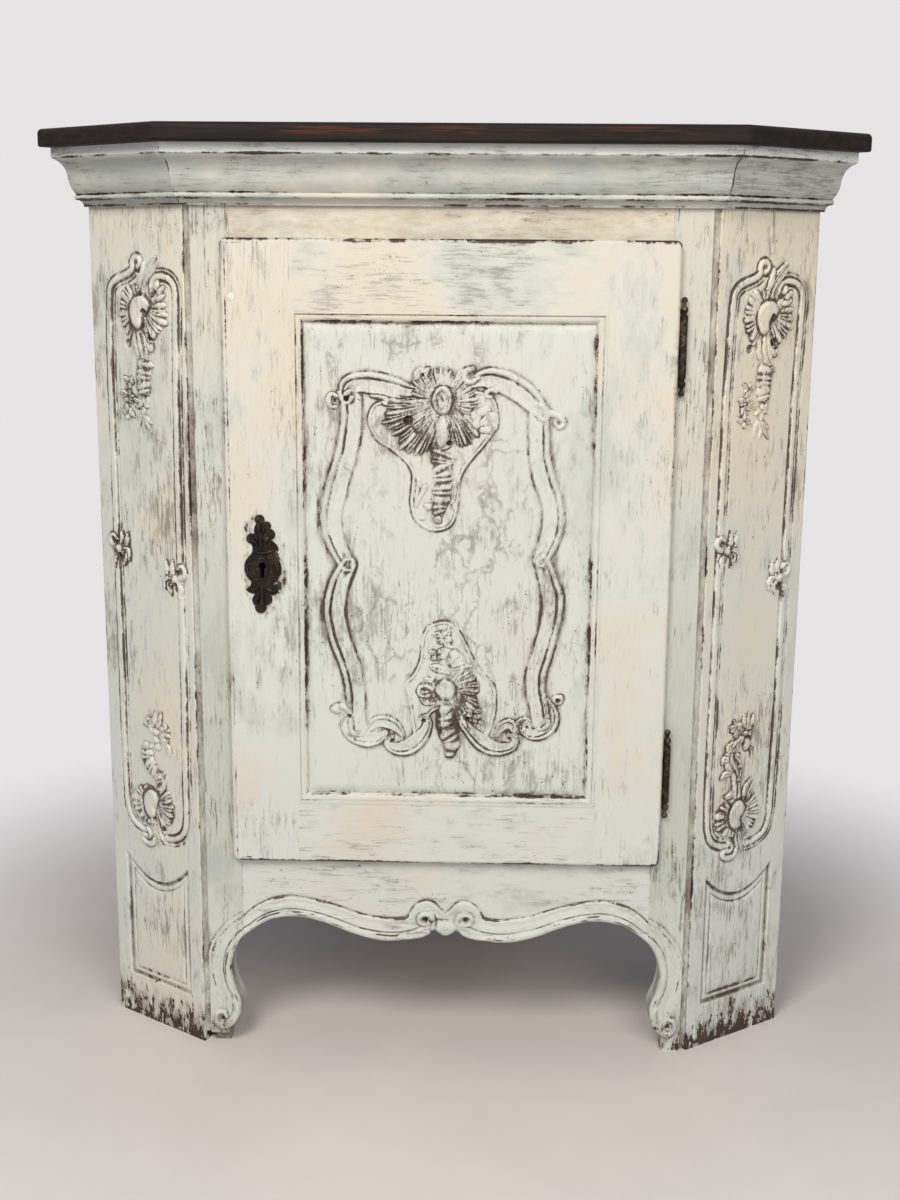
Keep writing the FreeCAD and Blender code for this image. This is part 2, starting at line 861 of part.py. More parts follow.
def back_nails(start, finish):
    """The nails of one back board, into the top batten and the bottom board's cleat."""
    heights = (carcass_top - batten_height / 2, board_heights["bottom_board"] - cleat_height / 2)
    nails = []
    for place in (start + along_wall * nail_edge_inset, finish - along_wall * nail_edge_inset):
        for z in heights:
            seat = place + up * z
            head = Part.makeCylinder(nail_head_radius, nail_head_height, seat, from_wall * -1)
            shank = Part.makeCylinder(nail_shank_radius, nail_length, seat, from_wall)
            nails.append(fused(head, shank))
    return nails


def make_back():
    outer = end_at(-frame_thickness)
    inner = end_at(-frame_thickness, back_thickness)
    rear = vec(0, rear_corner, 0)
    step = (rear - outer) / back_board_count
    half_gap = along_wall * (back_board_gap / 2)
    nails = []
    boards = []
    for i in range(back_board_count):
        start = outer + step * i
        finish = outer + step * (i + 1)
        start_gap = start + half_gap
        finish_gap = finish - half_gap
        plan = [
            outer if i == 0 else start_gap,
            rear if i == back_board_count - 1 else finish_gap,
            vec(0, rear_inner, 0) if i == back_board_count - 1 else finish_gap + from_wall * back_thickness,
            inner if i == 0 else start_gap + from_wall * back_thickness,
        ]
        boards.append(prism(plan, back_bottom, carcass_top))
        nails += back_nails(start, finish)
    for i, board in enumerate(boards):
        bored = board.cut(nails)
        parts["right_back_board_%d" % (i + 1)] = bored
        parts["left_back_board_%d" % (i + 1)] = mirrored(bored)
    left_nails = [mirrored(n) for n in nails]
    for name in ("right_top_batten", "right_wall_cleats"):
        parts[name] = parts[name].cut(nails)
    for name in ("left_top_batten", "left_wall_cleats"):
        parts[name] = parts[name].cut(left_nails)
    parts["rear_post"] = parts["rear_post"].cut(nails + left_nails)
    parts["back_board_nails"] = Part.makeCompound(nails + left_nails)


def door_envelope():
    """The whole door leaf without its panel opening: a rounded lip in front of a body that fits the opening."""
    lip = box((-door_half_width, door_front, door_bottom), (door_half_width, -lip_seat_gap, door_top))
    corners = [e for e in lip.Edges if abs(e.tangentAt(e.FirstParameter).y) > 0.5]
    lip = lip.makeFillet(door_corner_round, corners)
    arris = [e for e in lip.Edges if abs(e.CenterOfMass.y - door_front) < 1e-3]
    lip = lip.makeFillet(door_edge_round, arris)
    body = box(
        (door_clearance - half_opening, -lip_seat_gap, opening_bottom + door_clearance),
        (half_opening - door_clearance, door_body_depth, opening_top - door_clearance),
    )
    return fused(lip, body)


def door_tenon(low, high, slack):
    """Right tenon of a door rail, or its mortise when the slack is added."""
    return box(
        (panel_half_width, groove_front, low),
        (panel_half_width + door_tenon_length + slack, groove_front + panel_groove_width, high),
    )


def rail_tenons(slack):
    top_low = panel_top + panel_groove_depth
    bottom_high = panel_bottom - panel_groove_depth
    return [
        door_tenon(top_low, door_top - lip_overlap - door_tenon_shoulder, slack),
        door_tenon(door_bottom + lip_overlap + door_tenon_shoulder, bottom_high, slack),
    ]


def door_pegs():
    pegs = []
    for z in (panel_top + door_peg_margin, panel_bottom - door_peg_margin):
        for side in (-1, 1):
            seat = vec(side * (panel_half_width + door_peg_inset), door_front, z)
            pegs.append(Part.makeCylinder(peg_diameter / 2, door_peg_depth, seat, vec(0, 1, 0)))
    return pegs


def keyhole(front, back, border=0.0):
    """A keyhole-shaped block: a round head over a straight slot."""
    depth = back - front
    head = Part.makeCylinder(
        keyhole_round_radius + border, depth, vec(keyhole_x, front, keyhole_height), vec(0, 1, 0)
    )
    half_slot = keyhole_slot_width / 2 + border
    slot = box(
        (keyhole_x - half_slot, front, keyhole_height - keyhole_slot_length - border),
        (keyhole_x + half_slot, back, keyhole_height),
    )
    return fused(head, slot)


def lock_screws():
    """The lock's screws: heads on the case's inner face, shanks through it into the stile."""
    inner_face = door_body_depth + lock_depth
    screws = []
    for x in (lock_left + lock_screw_inset, lock_left + lock_width - lock_screw_inset):
        for z in (lock_bottom + lock_screw_inset, lock_bottom + lock_height - lock_screw_inset):
            seat = vec(x, inner_face, z)
            head = Part.makeCylinder(lock_screw_head_radius, lock_screw_head_height, seat, vec(0, 1, 0))
            shank = Part.makeCylinder(lock_screw_radius, lock_depth + lock_screw_bite, seat, vec(0, -1, 0))
            screws.append(fused(head, shank))
    return screws


def escutcheon_pins():
    pins = []
    for rise in (escutcheon_upper_pin, -escutcheon_lower_pin):
        seat = vec(keyhole_x, door_front - escutcheon_thickness - escutcheon_pin_rise, keyhole_height + rise)
        pins.append(Part.makeCylinder(escutcheon_pin_radius, escutcheon_pin_length, seat, vec(0, 1, 0)))
    return pins


def door_blade(height):
    """The flat blade of a hinge's moving half, let into the door's edge."""
    return box(
        (door_half_width - door_blade_reach, hinge_y - blade_thickness / 2, height + knuckle_gap / 2),
        (hinge_x, hinge_y + blade_thickness / 2, height + knuckle_length),
    )


def door_plug():
    seat = vec(plug_edge_inset - door_half_width, door_front, door_top - plug_drop)
    return Part.makeCylinder(plug_radius, plug_depth, seat, vec(0, 1, 0))


def make_door_frame():
    leaf = door_envelope()
    reach = door_half_width
    groove = panel_slab(groove_front, groove_front + panel_groove_width, -panel_groove_depth)
    pegs = door_pegs()
    right_mortises = rail_tenons(mortise_slack)
    right = leaf.common(box((panel_half_width, door_front, door_bottom), (reach, door_body_depth, door_top)))
    left = leaf.common(box((-reach, door_front, door_bottom), (-panel_half_width, door_body_depth, door_top)))
    blades = [door_blade(height) for height in hinge_heights.values()]
    parts["door_hinge_stile"] = right.cut([groove] + right_mortises + pegs + blades)
    parts["door_lock_stile"] = left.cut(
        [groove] + [mirrored(m) for m in right_mortises] + pegs
        + [keyhole(door_front, door_body_depth), door_plug()] + lock_screws() + escutcheon_pins()
    )
    tenons = rail_tenons(0)
    spans = {"door_top_rail": (panel_top, door_top), "door_bottom_rail": (door_bottom, panel_bottom)}
    for (name, (low, high)), tenon in zip(spans.items(), tenons):
        rail = leaf.common(box((-panel_half_width, door_front, low), (panel_half_width, door_body_depth, high)))
        parts[name] = fused(rail.cut(groove), tenon, mirrored(tenon)).cut(pegs)
    parts["door_tenon_pegs"] = Part.makeCompound(pegs)
    parts["door_plug"] = door_plug()


def panel_rect(y, inset):
    return [
        vec(inset - panel_half_width, y, panel_bottom + inset),
        vec(panel_half_width - inset, y, panel_bottom + inset),
        vec(panel_half_width - inset, y, panel_top - inset),
        vec(inset - panel_half_width, y, panel_top - inset),
    ]


def panel_slab(front, back, inset):
    low, high = panel_rect(front, inset)[0], panel_rect(back, inset)[2]
    return box((low.x, front, low.z), (high.x, back, high.z))


# The cartouche's side bands, scrolls and shells, as across and above the panel's middle.
# They are drawn for a panel of this width and height, and scaled to the one that is built.
cartouche_drawing_width = 386.0
cartouche_drawing_height = 633.0
cartouche_sides = [
    [[(-121.0, 203.0), (-127.0, 145.0), (-146.0, 60.0), (-128.0, 0.0)],
     [(-128.0, 0.0), (-144.0, -54.0), (-123.0, -146.0), (-120.0, -200.0)]],
    [[(110.0, 190.0), (114.0, 135.0), (134.0, 55.0), (118.0, 1.0)],
     [(118.0, 1.0), (132.0, -48.0), (113.0, -148.0), (119.0, -196.0)]],
]
cartouche_scrolls = [
    [(-135.0, 210.0), (-132.0, 226.0), (-113.0, 237.0), (-53.0, 227.0)],
    [(34.0, 247.0), (58.0, 245.0), (96.0, 224.0), (120.0, 198.0)],
    [(-131.0, -206.0), (-116.0, -226.0), (-90.0, -229.0), (-79.0, -219.0)],
    [(-70.0, -237.0), (-55.0, -242.0), (-33.0, -226.0), (-26.0, -200.0)],
    [(138.0, -200.0), (130.0, -216.0), (112.0, -223.0), (99.0, -211.0)],
    [(83.0, -231.0), (64.0, -239.0), (35.0, -221.0), (23.0, -197.0)],
]
curl_balls = [(-146.0, 205.0), (139.0, 184.0), (-144.0, -189.0), (143.0, -172.0)]
upper_plate_edge = [
    (-80.0, 213.0), (-101.0, 185.0), (-74.0, 147.0), (-47.0, 112.0), (-46.0, 68.0), (-18.0, 44.0),
    (11.0, 68.0), (16.0, 112.0), (48.0, 158.0), (62.0, 190.0), (46.0, 219.0),
]
lower_plate_edge = [
    (-46.0, -215.0), (-55.0, -156.0), (-36.0, -118.0), (-28.0, -82.0), (-8.0, -70.0),
    (14.0, -82.0), (36.0, -121.0), (63.0, -158.0), (57.0, -215.0),
]
upper_cabochon = (-8.0, 210.0)
lower_cabochon = (-2.0, -161.0)
# Each fan has the radius of its flutes, then its first and last angle, its count and its inner and outer reach
upper_fans = [
    (flute_radius, [178.0, 256.0, 7, 23.0, 80.0]),
    (lobe_boss_radius, [284.0, 352.0, 5, 23.0, 54.0]),
    (feather_radius, [42.0, 138.0, 8, 23.0, 39.0]),
]
lower_fans = [
    (lobe_boss_radius, [-56.0, 50.0, 7, 20.0, 52.0]),
    (lobe_boss_radius, [160.0, 226.0, 4, 20.0, 42.0]),
]
# Each stem has its head and tail, its count and the half width of its first and last rib
panel_stems = [
    [(-5.0, 142.0), (-13.0, 64.0), 8, 13.0, 6.5],
    [(-14.0, -122.0), (-7.0, -88.0), 4, 12.0, 9.0],
    [(-2.0, -189.0), (5.0, -250.0), 6, 12.0, 6.5],
]


def panel_carving(ground):
    """The cartouche in relief over the panel's field, whose front is at ground."""
    widen = 2 * panel_half_width / cartouche_drawing_width
    lengthen = (panel_top - panel_bottom) / cartouche_drawing_height
    thickness = widen * lengthen

    def on_panel(depth):
        return lambda across, above: vec(across * widen, ground + depth, panel_middle + above * lengthen)

    def roll(points, **gaps):
        width = scroll_roll_width * thickness
        return carved_roll(on_panel(0), points, width, scroll_roll_relief * thickness, **gaps)

    def plate(outline, relief):
        return outline(on_panel(-relief)).extrude(vec(0, relief + boss_sink, 0))

    carving = []
    half_band = cartouche_band_width / 2
    for upper, lower in cartouche_sides:
        way = math.copysign(1, upper[0][0])
        outer = [shifted(run, half_band, 0) for run in (upper, lower)]
        inner = [shifted(run, -half_band, 0) for run in (upper, lower)]
        carving.append(plate(
            lambda place: face(
                place, outer[0][0], outer[0][1:], outer[1][1:], inner[1][-1:], inner[1][-2::-1], inner[0][-2::-1]
            ),
            cartouche_band_relief,
        ))
        roll_shift = way * (half_band - scroll_roll_width / 4)
        carving.append(roll(shifted(upper, roll_shift, 0), end_gap=scroll_roll_gap))
        carving.append(roll(shifted(lower, roll_shift, 0), start_gap=scroll_roll_gap))
    carving += [roll(scroll) for scroll in cartouche_scrolls]
    carving += [Part.makeSphere(curl_ball_radius * thickness, on_panel(boss_sink)(*p)) for p in curl_balls]
    for edge in (upper_plate_edge, lower_plate_edge):
        carving.append(plate(lambda place: face(place, edge[0], edge[1:]), shell_plate_relief))

    place = on_panel(boss_sink - shell_plate_relief)
    sunk = on_panel(cabochon_sink * thickness - shell_plate_relief)
    in_front = panel_slab(ground - cabochon_radius, ground + boss_sink, moulding_width)
    across, above = upper_cabochon
    oval_ends = (across, above - cabochon_half_length), (across, above + cabochon_half_length)
    carving.append(egg(sunk, *oval_ends, cabochon_radius * thickness).common(in_front))
    carving.append(Part.makeSphere(cabochon_radius * thickness, sunk(*lower_cabochon)).common(in_front))
    for centre, fans in ((upper_cabochon, upper_fans), (lower_cabochon, lower_fans)):
        for radius, sizes in fans:
            carving += fan(place, centre, *sizes, radius * thickness)
    for stem in panel_stems:
        carving += rib_stem(place, rib_radius * thickness, *stem)
    return carving


def make_door_panel():
    margin_front = door_front + panel_margin_setback
    tongue_reach = panel_groove_depth - panel_slack
    base = panel_slab(margin_front, margin_front + panel_thickness, panel_slack / 2)
    tongue = panel_slab(groove_front, groove_front + panel_groove_width, -tongue_reach)
    foot = panel_rect(margin_front, moulding_width)
    ground = margin_front - panel_field_rise
    field = panel_rect(ground, moulding_width + panel_bevel_width)
    raised = Part.makeLoft([Part.makePolygon(r + r[:1]) for r in (foot, field)], True, True)
    parts["door_panel"] = fused(base, tongue, raised, *panel_carving(ground))


def moulding_profile(place):
    """Section of the planted moulding, as reach over the panel and distance behind the door's front."""
    back = panel_margin_setback
    quirk_near = moulding_flat_width + moulding_quirk_width
    ovolo_head = (quirk_near, moulding_ovolo_rise)
    ovolo_foot = (moulding_width, back - moulding_toe_height)
    return face(
        place,
        (0, back),
        [(0, -moulding_proud)],
        [(moulding_flat_width, -moulding_proud)],
        [(moulding_flat_width, moulding_quirk_depth)],
        [(quirk_near, moulding_quirk_depth)],
        [ovolo_head],
        [bowed(ovolo_head, ovolo_foot, -moulding_belly), ovolo_foot],
        [(moulding_width, back)],
    )


def make_door_moulding():
    front = door_front - moulding_proud
    outer = panel_rect(front, 0)
    inner = panel_rect(front, moulding_width)
    depth = vec(0, panel_margin_setback + moulding_proud, 0)

    def mitred(corners):
        return Part.Face(Part.makePolygon(corners + corners[:1])).extrude(depth)

    upright = moulding_profile(lambda reach, back: vec(panel_half_width - reach, door_front + back, panel_bottom))
    upright = upright.extrude(vec(0, 0, panel_top - panel_bottom))
    right = upright.common(mitred([outer[1], outer[2], inner[2], inner[1]]))
    parts["door_moulding_right"] = right
    parts["door_moulding_left"] = mirrored(right)
    level = vec(2 * panel_half_width, 0, 0)
    for name, edge, way, a, b in (
        ("door_moulding_bottom", panel_bottom, 1, 0, 1),
        ("door_moulding_top", panel_top, -1, 3, 2),
    ):
        run = moulding_profile(
            lambda reach, back: vec(-panel_half_width, door_front + back, edge + way * reach)
        ).extrude(level)
        parts[name] = run.common(mitred([outer[a], outer[b], inner[b], inner[a]]))


def finial_profile(place, way):
    """Half section of a knuckle and its finial, running from the split between the halves."""
    def at(radius, past_knuckle):
        return place(radius, way * (knuckle_length + past_knuckle))

    def on_ball(ball_radius, height, radius, side):
        return (radius, height + side * math.sqrt(ball_radius ** 2 - radius ** 2))

    ball_foot = on_ball(finial_ball_radius, finial_ball_height, finial_ring_radius, -1)
    ball_head = on_ball(finial_ball_radius, finial_ball_height, finial_neck_radius, 1)
    tip_foot = on_ball(finial_tip_radius, finial_tip_height, finial_neck_radius, -1)
    split = knuckle_gap / 2 - knuckle_length
    return face(
        at,
        (0, split),
        [(barrel_radius, split)],
        [(barrel_radius, 0)],
        [(finial_ring_radius, 0)],
        [ball_foot],
        [(finial_ball_radius, finial_ball_height), ball_head],
        [tip_foot],
        [(finial_tip_radius, finial_tip_height), (0, finial_tip_height + finial_tip_radius)],
    )


def make_hinges():
    axis_foot = vec(hinge_x, hinge_y, 0)
    for name, height in hinge_heights.items():
        def place(radius, rise):
            return axis_foot + vec(radius, 0, height + rise)

        def turned(way):
            return finial_profile(place, way).revolve(axis_foot, up, 360)

        pin = Part.makeCylinder(hinge_pin_radius, 2 * hinge_pin_length, place(0, -hinge_pin_length))
        bore = Part.makeCylinder(
            hinge_pin_radius + hinge_pin_clearance, hinge_pin_length + knuckle_gap, place(0, 0)
        )
        parts[name + "_hinge_frame_half"] = fused(turned(-1), frame_blade(height), pin)
        parts[name + "_hinge_door_half"] = fused(turned(1), door_blade(height)).cut(bore)


# Right and left sides of the escutcheon from its top lobe down, as across and above the keyhole
escutcheon_right = [
    [(10.0, 55.0), (10.5, 47.0)],
    [(17.0, 40.0), (11.0, 33.0)],
    [(17.0, 28.5), (21.0, 20.5)],
    [(15.0, 18.5), (14.5, 14.0)],
    [(23.5, 1.0), (11.5, -24.0)],
    [(19.5, -31.0), (9.5, -37.5)],
    [(11.5, -46.0), (4.0, -51.0)],
]
escutcheon_left = [
    [(-13.5, -45.0), (-8.0, -36.0)],
    [(-17.0, -34.5), (-22.0, -30.0)],
    [(-16.0, -26.5), (-14.5, -20.0)],
    [(-22.8, -1.0), (-14.5, 14.0)],
    [(-12.0, 21.0), (-13.5, 28.0)],
    [(-19.5, 33.0), (-9.0, 39.5)],
    [(-9.5, 47.0), (-6.5, 54.0)],
]
escutcheon_top_lobe = [(2.5, 55.0), (-3.0, 65.0), (-6.5, 54.0)]
escutcheon_bottom_lobe = [(4.0, -51.0), (-3.5, -61.5), (-10.0, -52.0)]


def make_escutcheon():
    front = door_front - escutcheon_thickness

    def place(across, above):
        return vec(keyhole_x + across, front, keyhole_height + above)

    plate = face(
        place,
        escutcheon_top_lobe[0],
        *escutcheon_right,
        escutcheon_bottom_lobe[1:],
        *escutcheon_left,
        escutcheon_top_lobe[1::-1],
    ).extrude(vec(0, escutcheon_thickness, 0))
    collar = keyhole(front - collar_relief, front, collar_width)
    pins = escutcheon_pins()
    hole = keyhole(front - collar_relief, door_front)
    parts["escutcheon"] = fused(plate, collar).cut([hole] + pins)
    parts["escutcheon_pins"] = Part.makeCompound(pins)


def make_lock():
    inner_face = door_body_depth + lock_depth
    case = box(
        (lock_left, door_body_depth, lock_bottom),
        (lock_left + lock_width, inner_face, lock_bottom + lock_height),
    )
    channel = box(
        (lock_left, bolt_front - bolt_clearance, bolt_top - bolt_height - bolt_clearance),
        (
            lock_left + bolt_length,
            bolt_front + bolt_thickness + bolt_clearance,
            bolt_top + bolt_clearance,
        ),
    )
    screws = lock_screws()
    parts["lock_case"] = case.cut([channel, keyhole(door_body_depth, inner_face - lock_back_plate)] + screws)
    parts["lock_screws"] = Part.makeCompound(screws)
    parts["lock_bolt"] = box(
        (bolt_left, bolt_front, bolt_top - bolt_height),
        (bolt_left + bolt_length, bolt_front + bolt_thickness, bolt_top),
    )


def export_parts():
    for name, shape in parts.items():
        placed = shape.copy()
        placed.translate(vec(0, -plan_middle, 0))
        placed.exportStep("parts/%s.step" % name)


os.makedirs("parts", exist_ok=True)
make_top_board()
make_cornice()
make_stiles()
make_rails()
make_pilasters()
make_inside()
make_back()
make_door_frame()
make_door_panel()
make_door_moulding()
make_hinges()
make_escutcheon()
make_lock()
export_parts()
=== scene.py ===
import math
import bpy
import bmesh
import numpy as np
from mathutils import Matrix, Vector


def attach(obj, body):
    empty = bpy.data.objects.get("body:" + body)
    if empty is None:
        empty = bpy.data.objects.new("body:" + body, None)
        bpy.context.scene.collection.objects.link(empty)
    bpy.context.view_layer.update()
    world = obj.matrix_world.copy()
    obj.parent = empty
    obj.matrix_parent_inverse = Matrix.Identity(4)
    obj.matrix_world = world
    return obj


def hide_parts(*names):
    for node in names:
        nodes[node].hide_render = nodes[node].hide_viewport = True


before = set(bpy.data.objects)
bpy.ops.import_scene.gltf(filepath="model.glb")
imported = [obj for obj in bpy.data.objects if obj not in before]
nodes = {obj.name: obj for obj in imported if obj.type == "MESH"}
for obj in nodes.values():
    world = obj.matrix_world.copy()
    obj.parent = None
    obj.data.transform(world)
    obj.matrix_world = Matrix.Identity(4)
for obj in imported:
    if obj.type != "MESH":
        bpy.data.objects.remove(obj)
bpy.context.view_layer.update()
print("frame loaded:", len(nodes), "nodes")

# the cabinet's own measures, in millimetres, with x across, y to the back and z up
cabinet = {
    "frontY": -248.185,       # face of the front frame
    "halfFront": 327.0,
    "halfOpening": 270.5,
    "cantWidth": 169.0,
    "cantAngle": math.radians(35),
    "boardDepth": 30.0,
    "carcassTop": 1178.0,
}
mm = 0.001   # metres in a millimetre
sharpAngle = math.radians(50)   # edges bent more than this stay sharp
twelfth = 0.5236   # a twelfth of a turn, in radians


# shader sums

class Sock:
    # one socket of a shader; sums on it add Math nodes
    def __init__(self, tree, out=None):
        self.tree = tree
        self.out = out

    def node(self, kind, settings, sockets, out=0):
        made = self.tree.nodes.new("ShaderNode" + kind)
        for name, value in settings.items():
            setattr(made, name, value)
        for name, value in sockets.items():
            if isinstance(value, Sock):
                self.tree.links.new(value.out, made.inputs[name])
            else:
                made.inputs[name].default_value = value
        return Sock(self.tree, made.outputs[out] if made.outputs else None)

    def also(self, out):   # another output of the same node
        return Sock(self.tree, self.out.node.outputs[out])

    def sum(self, operation, *values):
        return self.node("Math", {"operation": operation}, dict(enumerate(values)))

    def __add__(self, other):
        return self.sum("ADD", self, other)

    def __sub__(self, other):
        return self.sum("SUBTRACT", self, other)

    def __rsub__(self, other):
        return self.sum("SUBTRACT", other, self)

    def __mul__(self, other):
        return self.sum("MULTIPLY", self, other)

    def __pow__(self, other):
        return self.sum("POWER", self, other)

    def __abs__(self):
        return self.sum("ABSOLUTE", self)

    __radd__ = __add__
    __rmul__ = __mul__

    def least(self, other):
        return self.sum("MINIMUM", self, other)

    def most(self, other):
        return self.sum("MAXIMUM", self, other)

    def fade(self, start, end):   # 0 at start, 1 at end, smooth between
        return self.node("MapRange", {"interpolation_type": "SMOOTHSTEP"}, {0: self, 1: start, 2: end})

    def scaled(self, factors):
        return self.node("VectorMath", {"operation": "MULTIPLY"}, {0: self, 1: factors})

    def moved(self, shift):
        return self.node("VectorMath", {"operation": "ADD"}, {0: self, 1: shift})

    def noise(self, scale, detail, rough, bend=0.0, out=0):
        sockets = {"Vector": self, "Scale": scale, "Detail": detail, "Roughness": rough, "Distortion": bend}
        return self.node("TexNoise", {}, sockets, out)

    def blend(self, factor, one, two):   # from one colour to another
        return self.node("Mix", {"data_type": "RGBA"}, {0: factor, 6: one, 7: two}, 2)

    def tint(self, factor, colour):   # this colour, with another laid over it
        return self.blend(factor, self, colour)


def startMaterial(name):
    material = bpy.data.materials.new(name)
    material.use_nodes = True
    material.node_tree.nodes.clear()
    pad = Sock(material.node_tree)
    return material, pad, pad.node("TexCoord", {}, {}, 3)


def endMaterial(pad, colour, rough, height, depth, strength=0.5, **fixed):
    bump = pad.node("Bump", {}, {"Strength": strength, "Distance": depth, "Height": height})
    sockets = {"Base Color": colour, "Roughness": rough, "Normal": bump}
    shader = pad.node("BsdfPrincipled", {}, dict(sockets, **fixed))
    pad.node("OutputMaterial", {}, {"Surface": shader})


def splitPlace(place):
    x = place.node("SeparateXYZ", {}, {0: place})
    return x, x.also(1), x.also(2)


# painted wood: chalk paint over dark wood

chalkPaint = {
    "cream": (0.660, 0.606, 0.488, 1),
    "white": (0.645, 0.665, 0.625, 1),
    "sage": (0.470, 0.490, 0.425, 1),
    # blue-grey, laid on as painted shade below the cornice and under the door, and in random cool patches
    "shadeBlueGrey": (0.390, 0.440, 0.435, 1),
    "tan": (0.500, 0.410, 0.290, 1),
    "umber": (0.190, 0.155, 0.118, 1),
    "wax": (0.062, 0.043, 0.032, 1),
    "wood": (0.026, 0.014, 0.010, 1),
    "redWood": (0.070, 0.025, 0.018, 1),
    # a pale tone painted on the cornice's fascia as a painted highlight where the top board shades it
    "fascia": (0.84, 0.875, 0.86, 1),
    "rough": 0.66,
    "dull": 0.0, "lowDull": 0.0,
    # how much of each tint is laid on, among them the blue-grey painted shade and the fascia's painted
    # highlight
    "sageShare": 0.55, "coolShadeShare": 0.35, "warmShare": 0.16, "grimeShare": 0.36, "hairShare": 0.34,
    "crackShare": 0.0, "fasciaHighlightShare": 0.0, "footWear": 0.022,
}
paintZones = {   # where the paint changes, in metres, from no change to the full change
    "pale": (1.0, 0.40), "dull": (0.85, 0.45), "dullAbove": (0.15, 0.30),
    # the next row places the blue-grey painted shade below the cornice and under the door
    "shadeBelowCornice": (1.080, 1.125), "shadeUnderDoorLow": (0.232, 0.260), "shadeUnderDoorHigh": (0.285, 0.262),
    "coldCorner": (0.285, 0.32), "warmTop": (1.03, 1.085),
    # the next row places the cornice's blue-grey painted shade and its fascia's painted highlight
    "corniceUpperShade": (1.138, 1.156), "corniceFootShade": (1.1170, 1.1145), "fasciaHighlightBand": (1.160, 1.167),
    "crackFace": (-0.246, -0.250), "soiled": (0.080, 0.004),
}


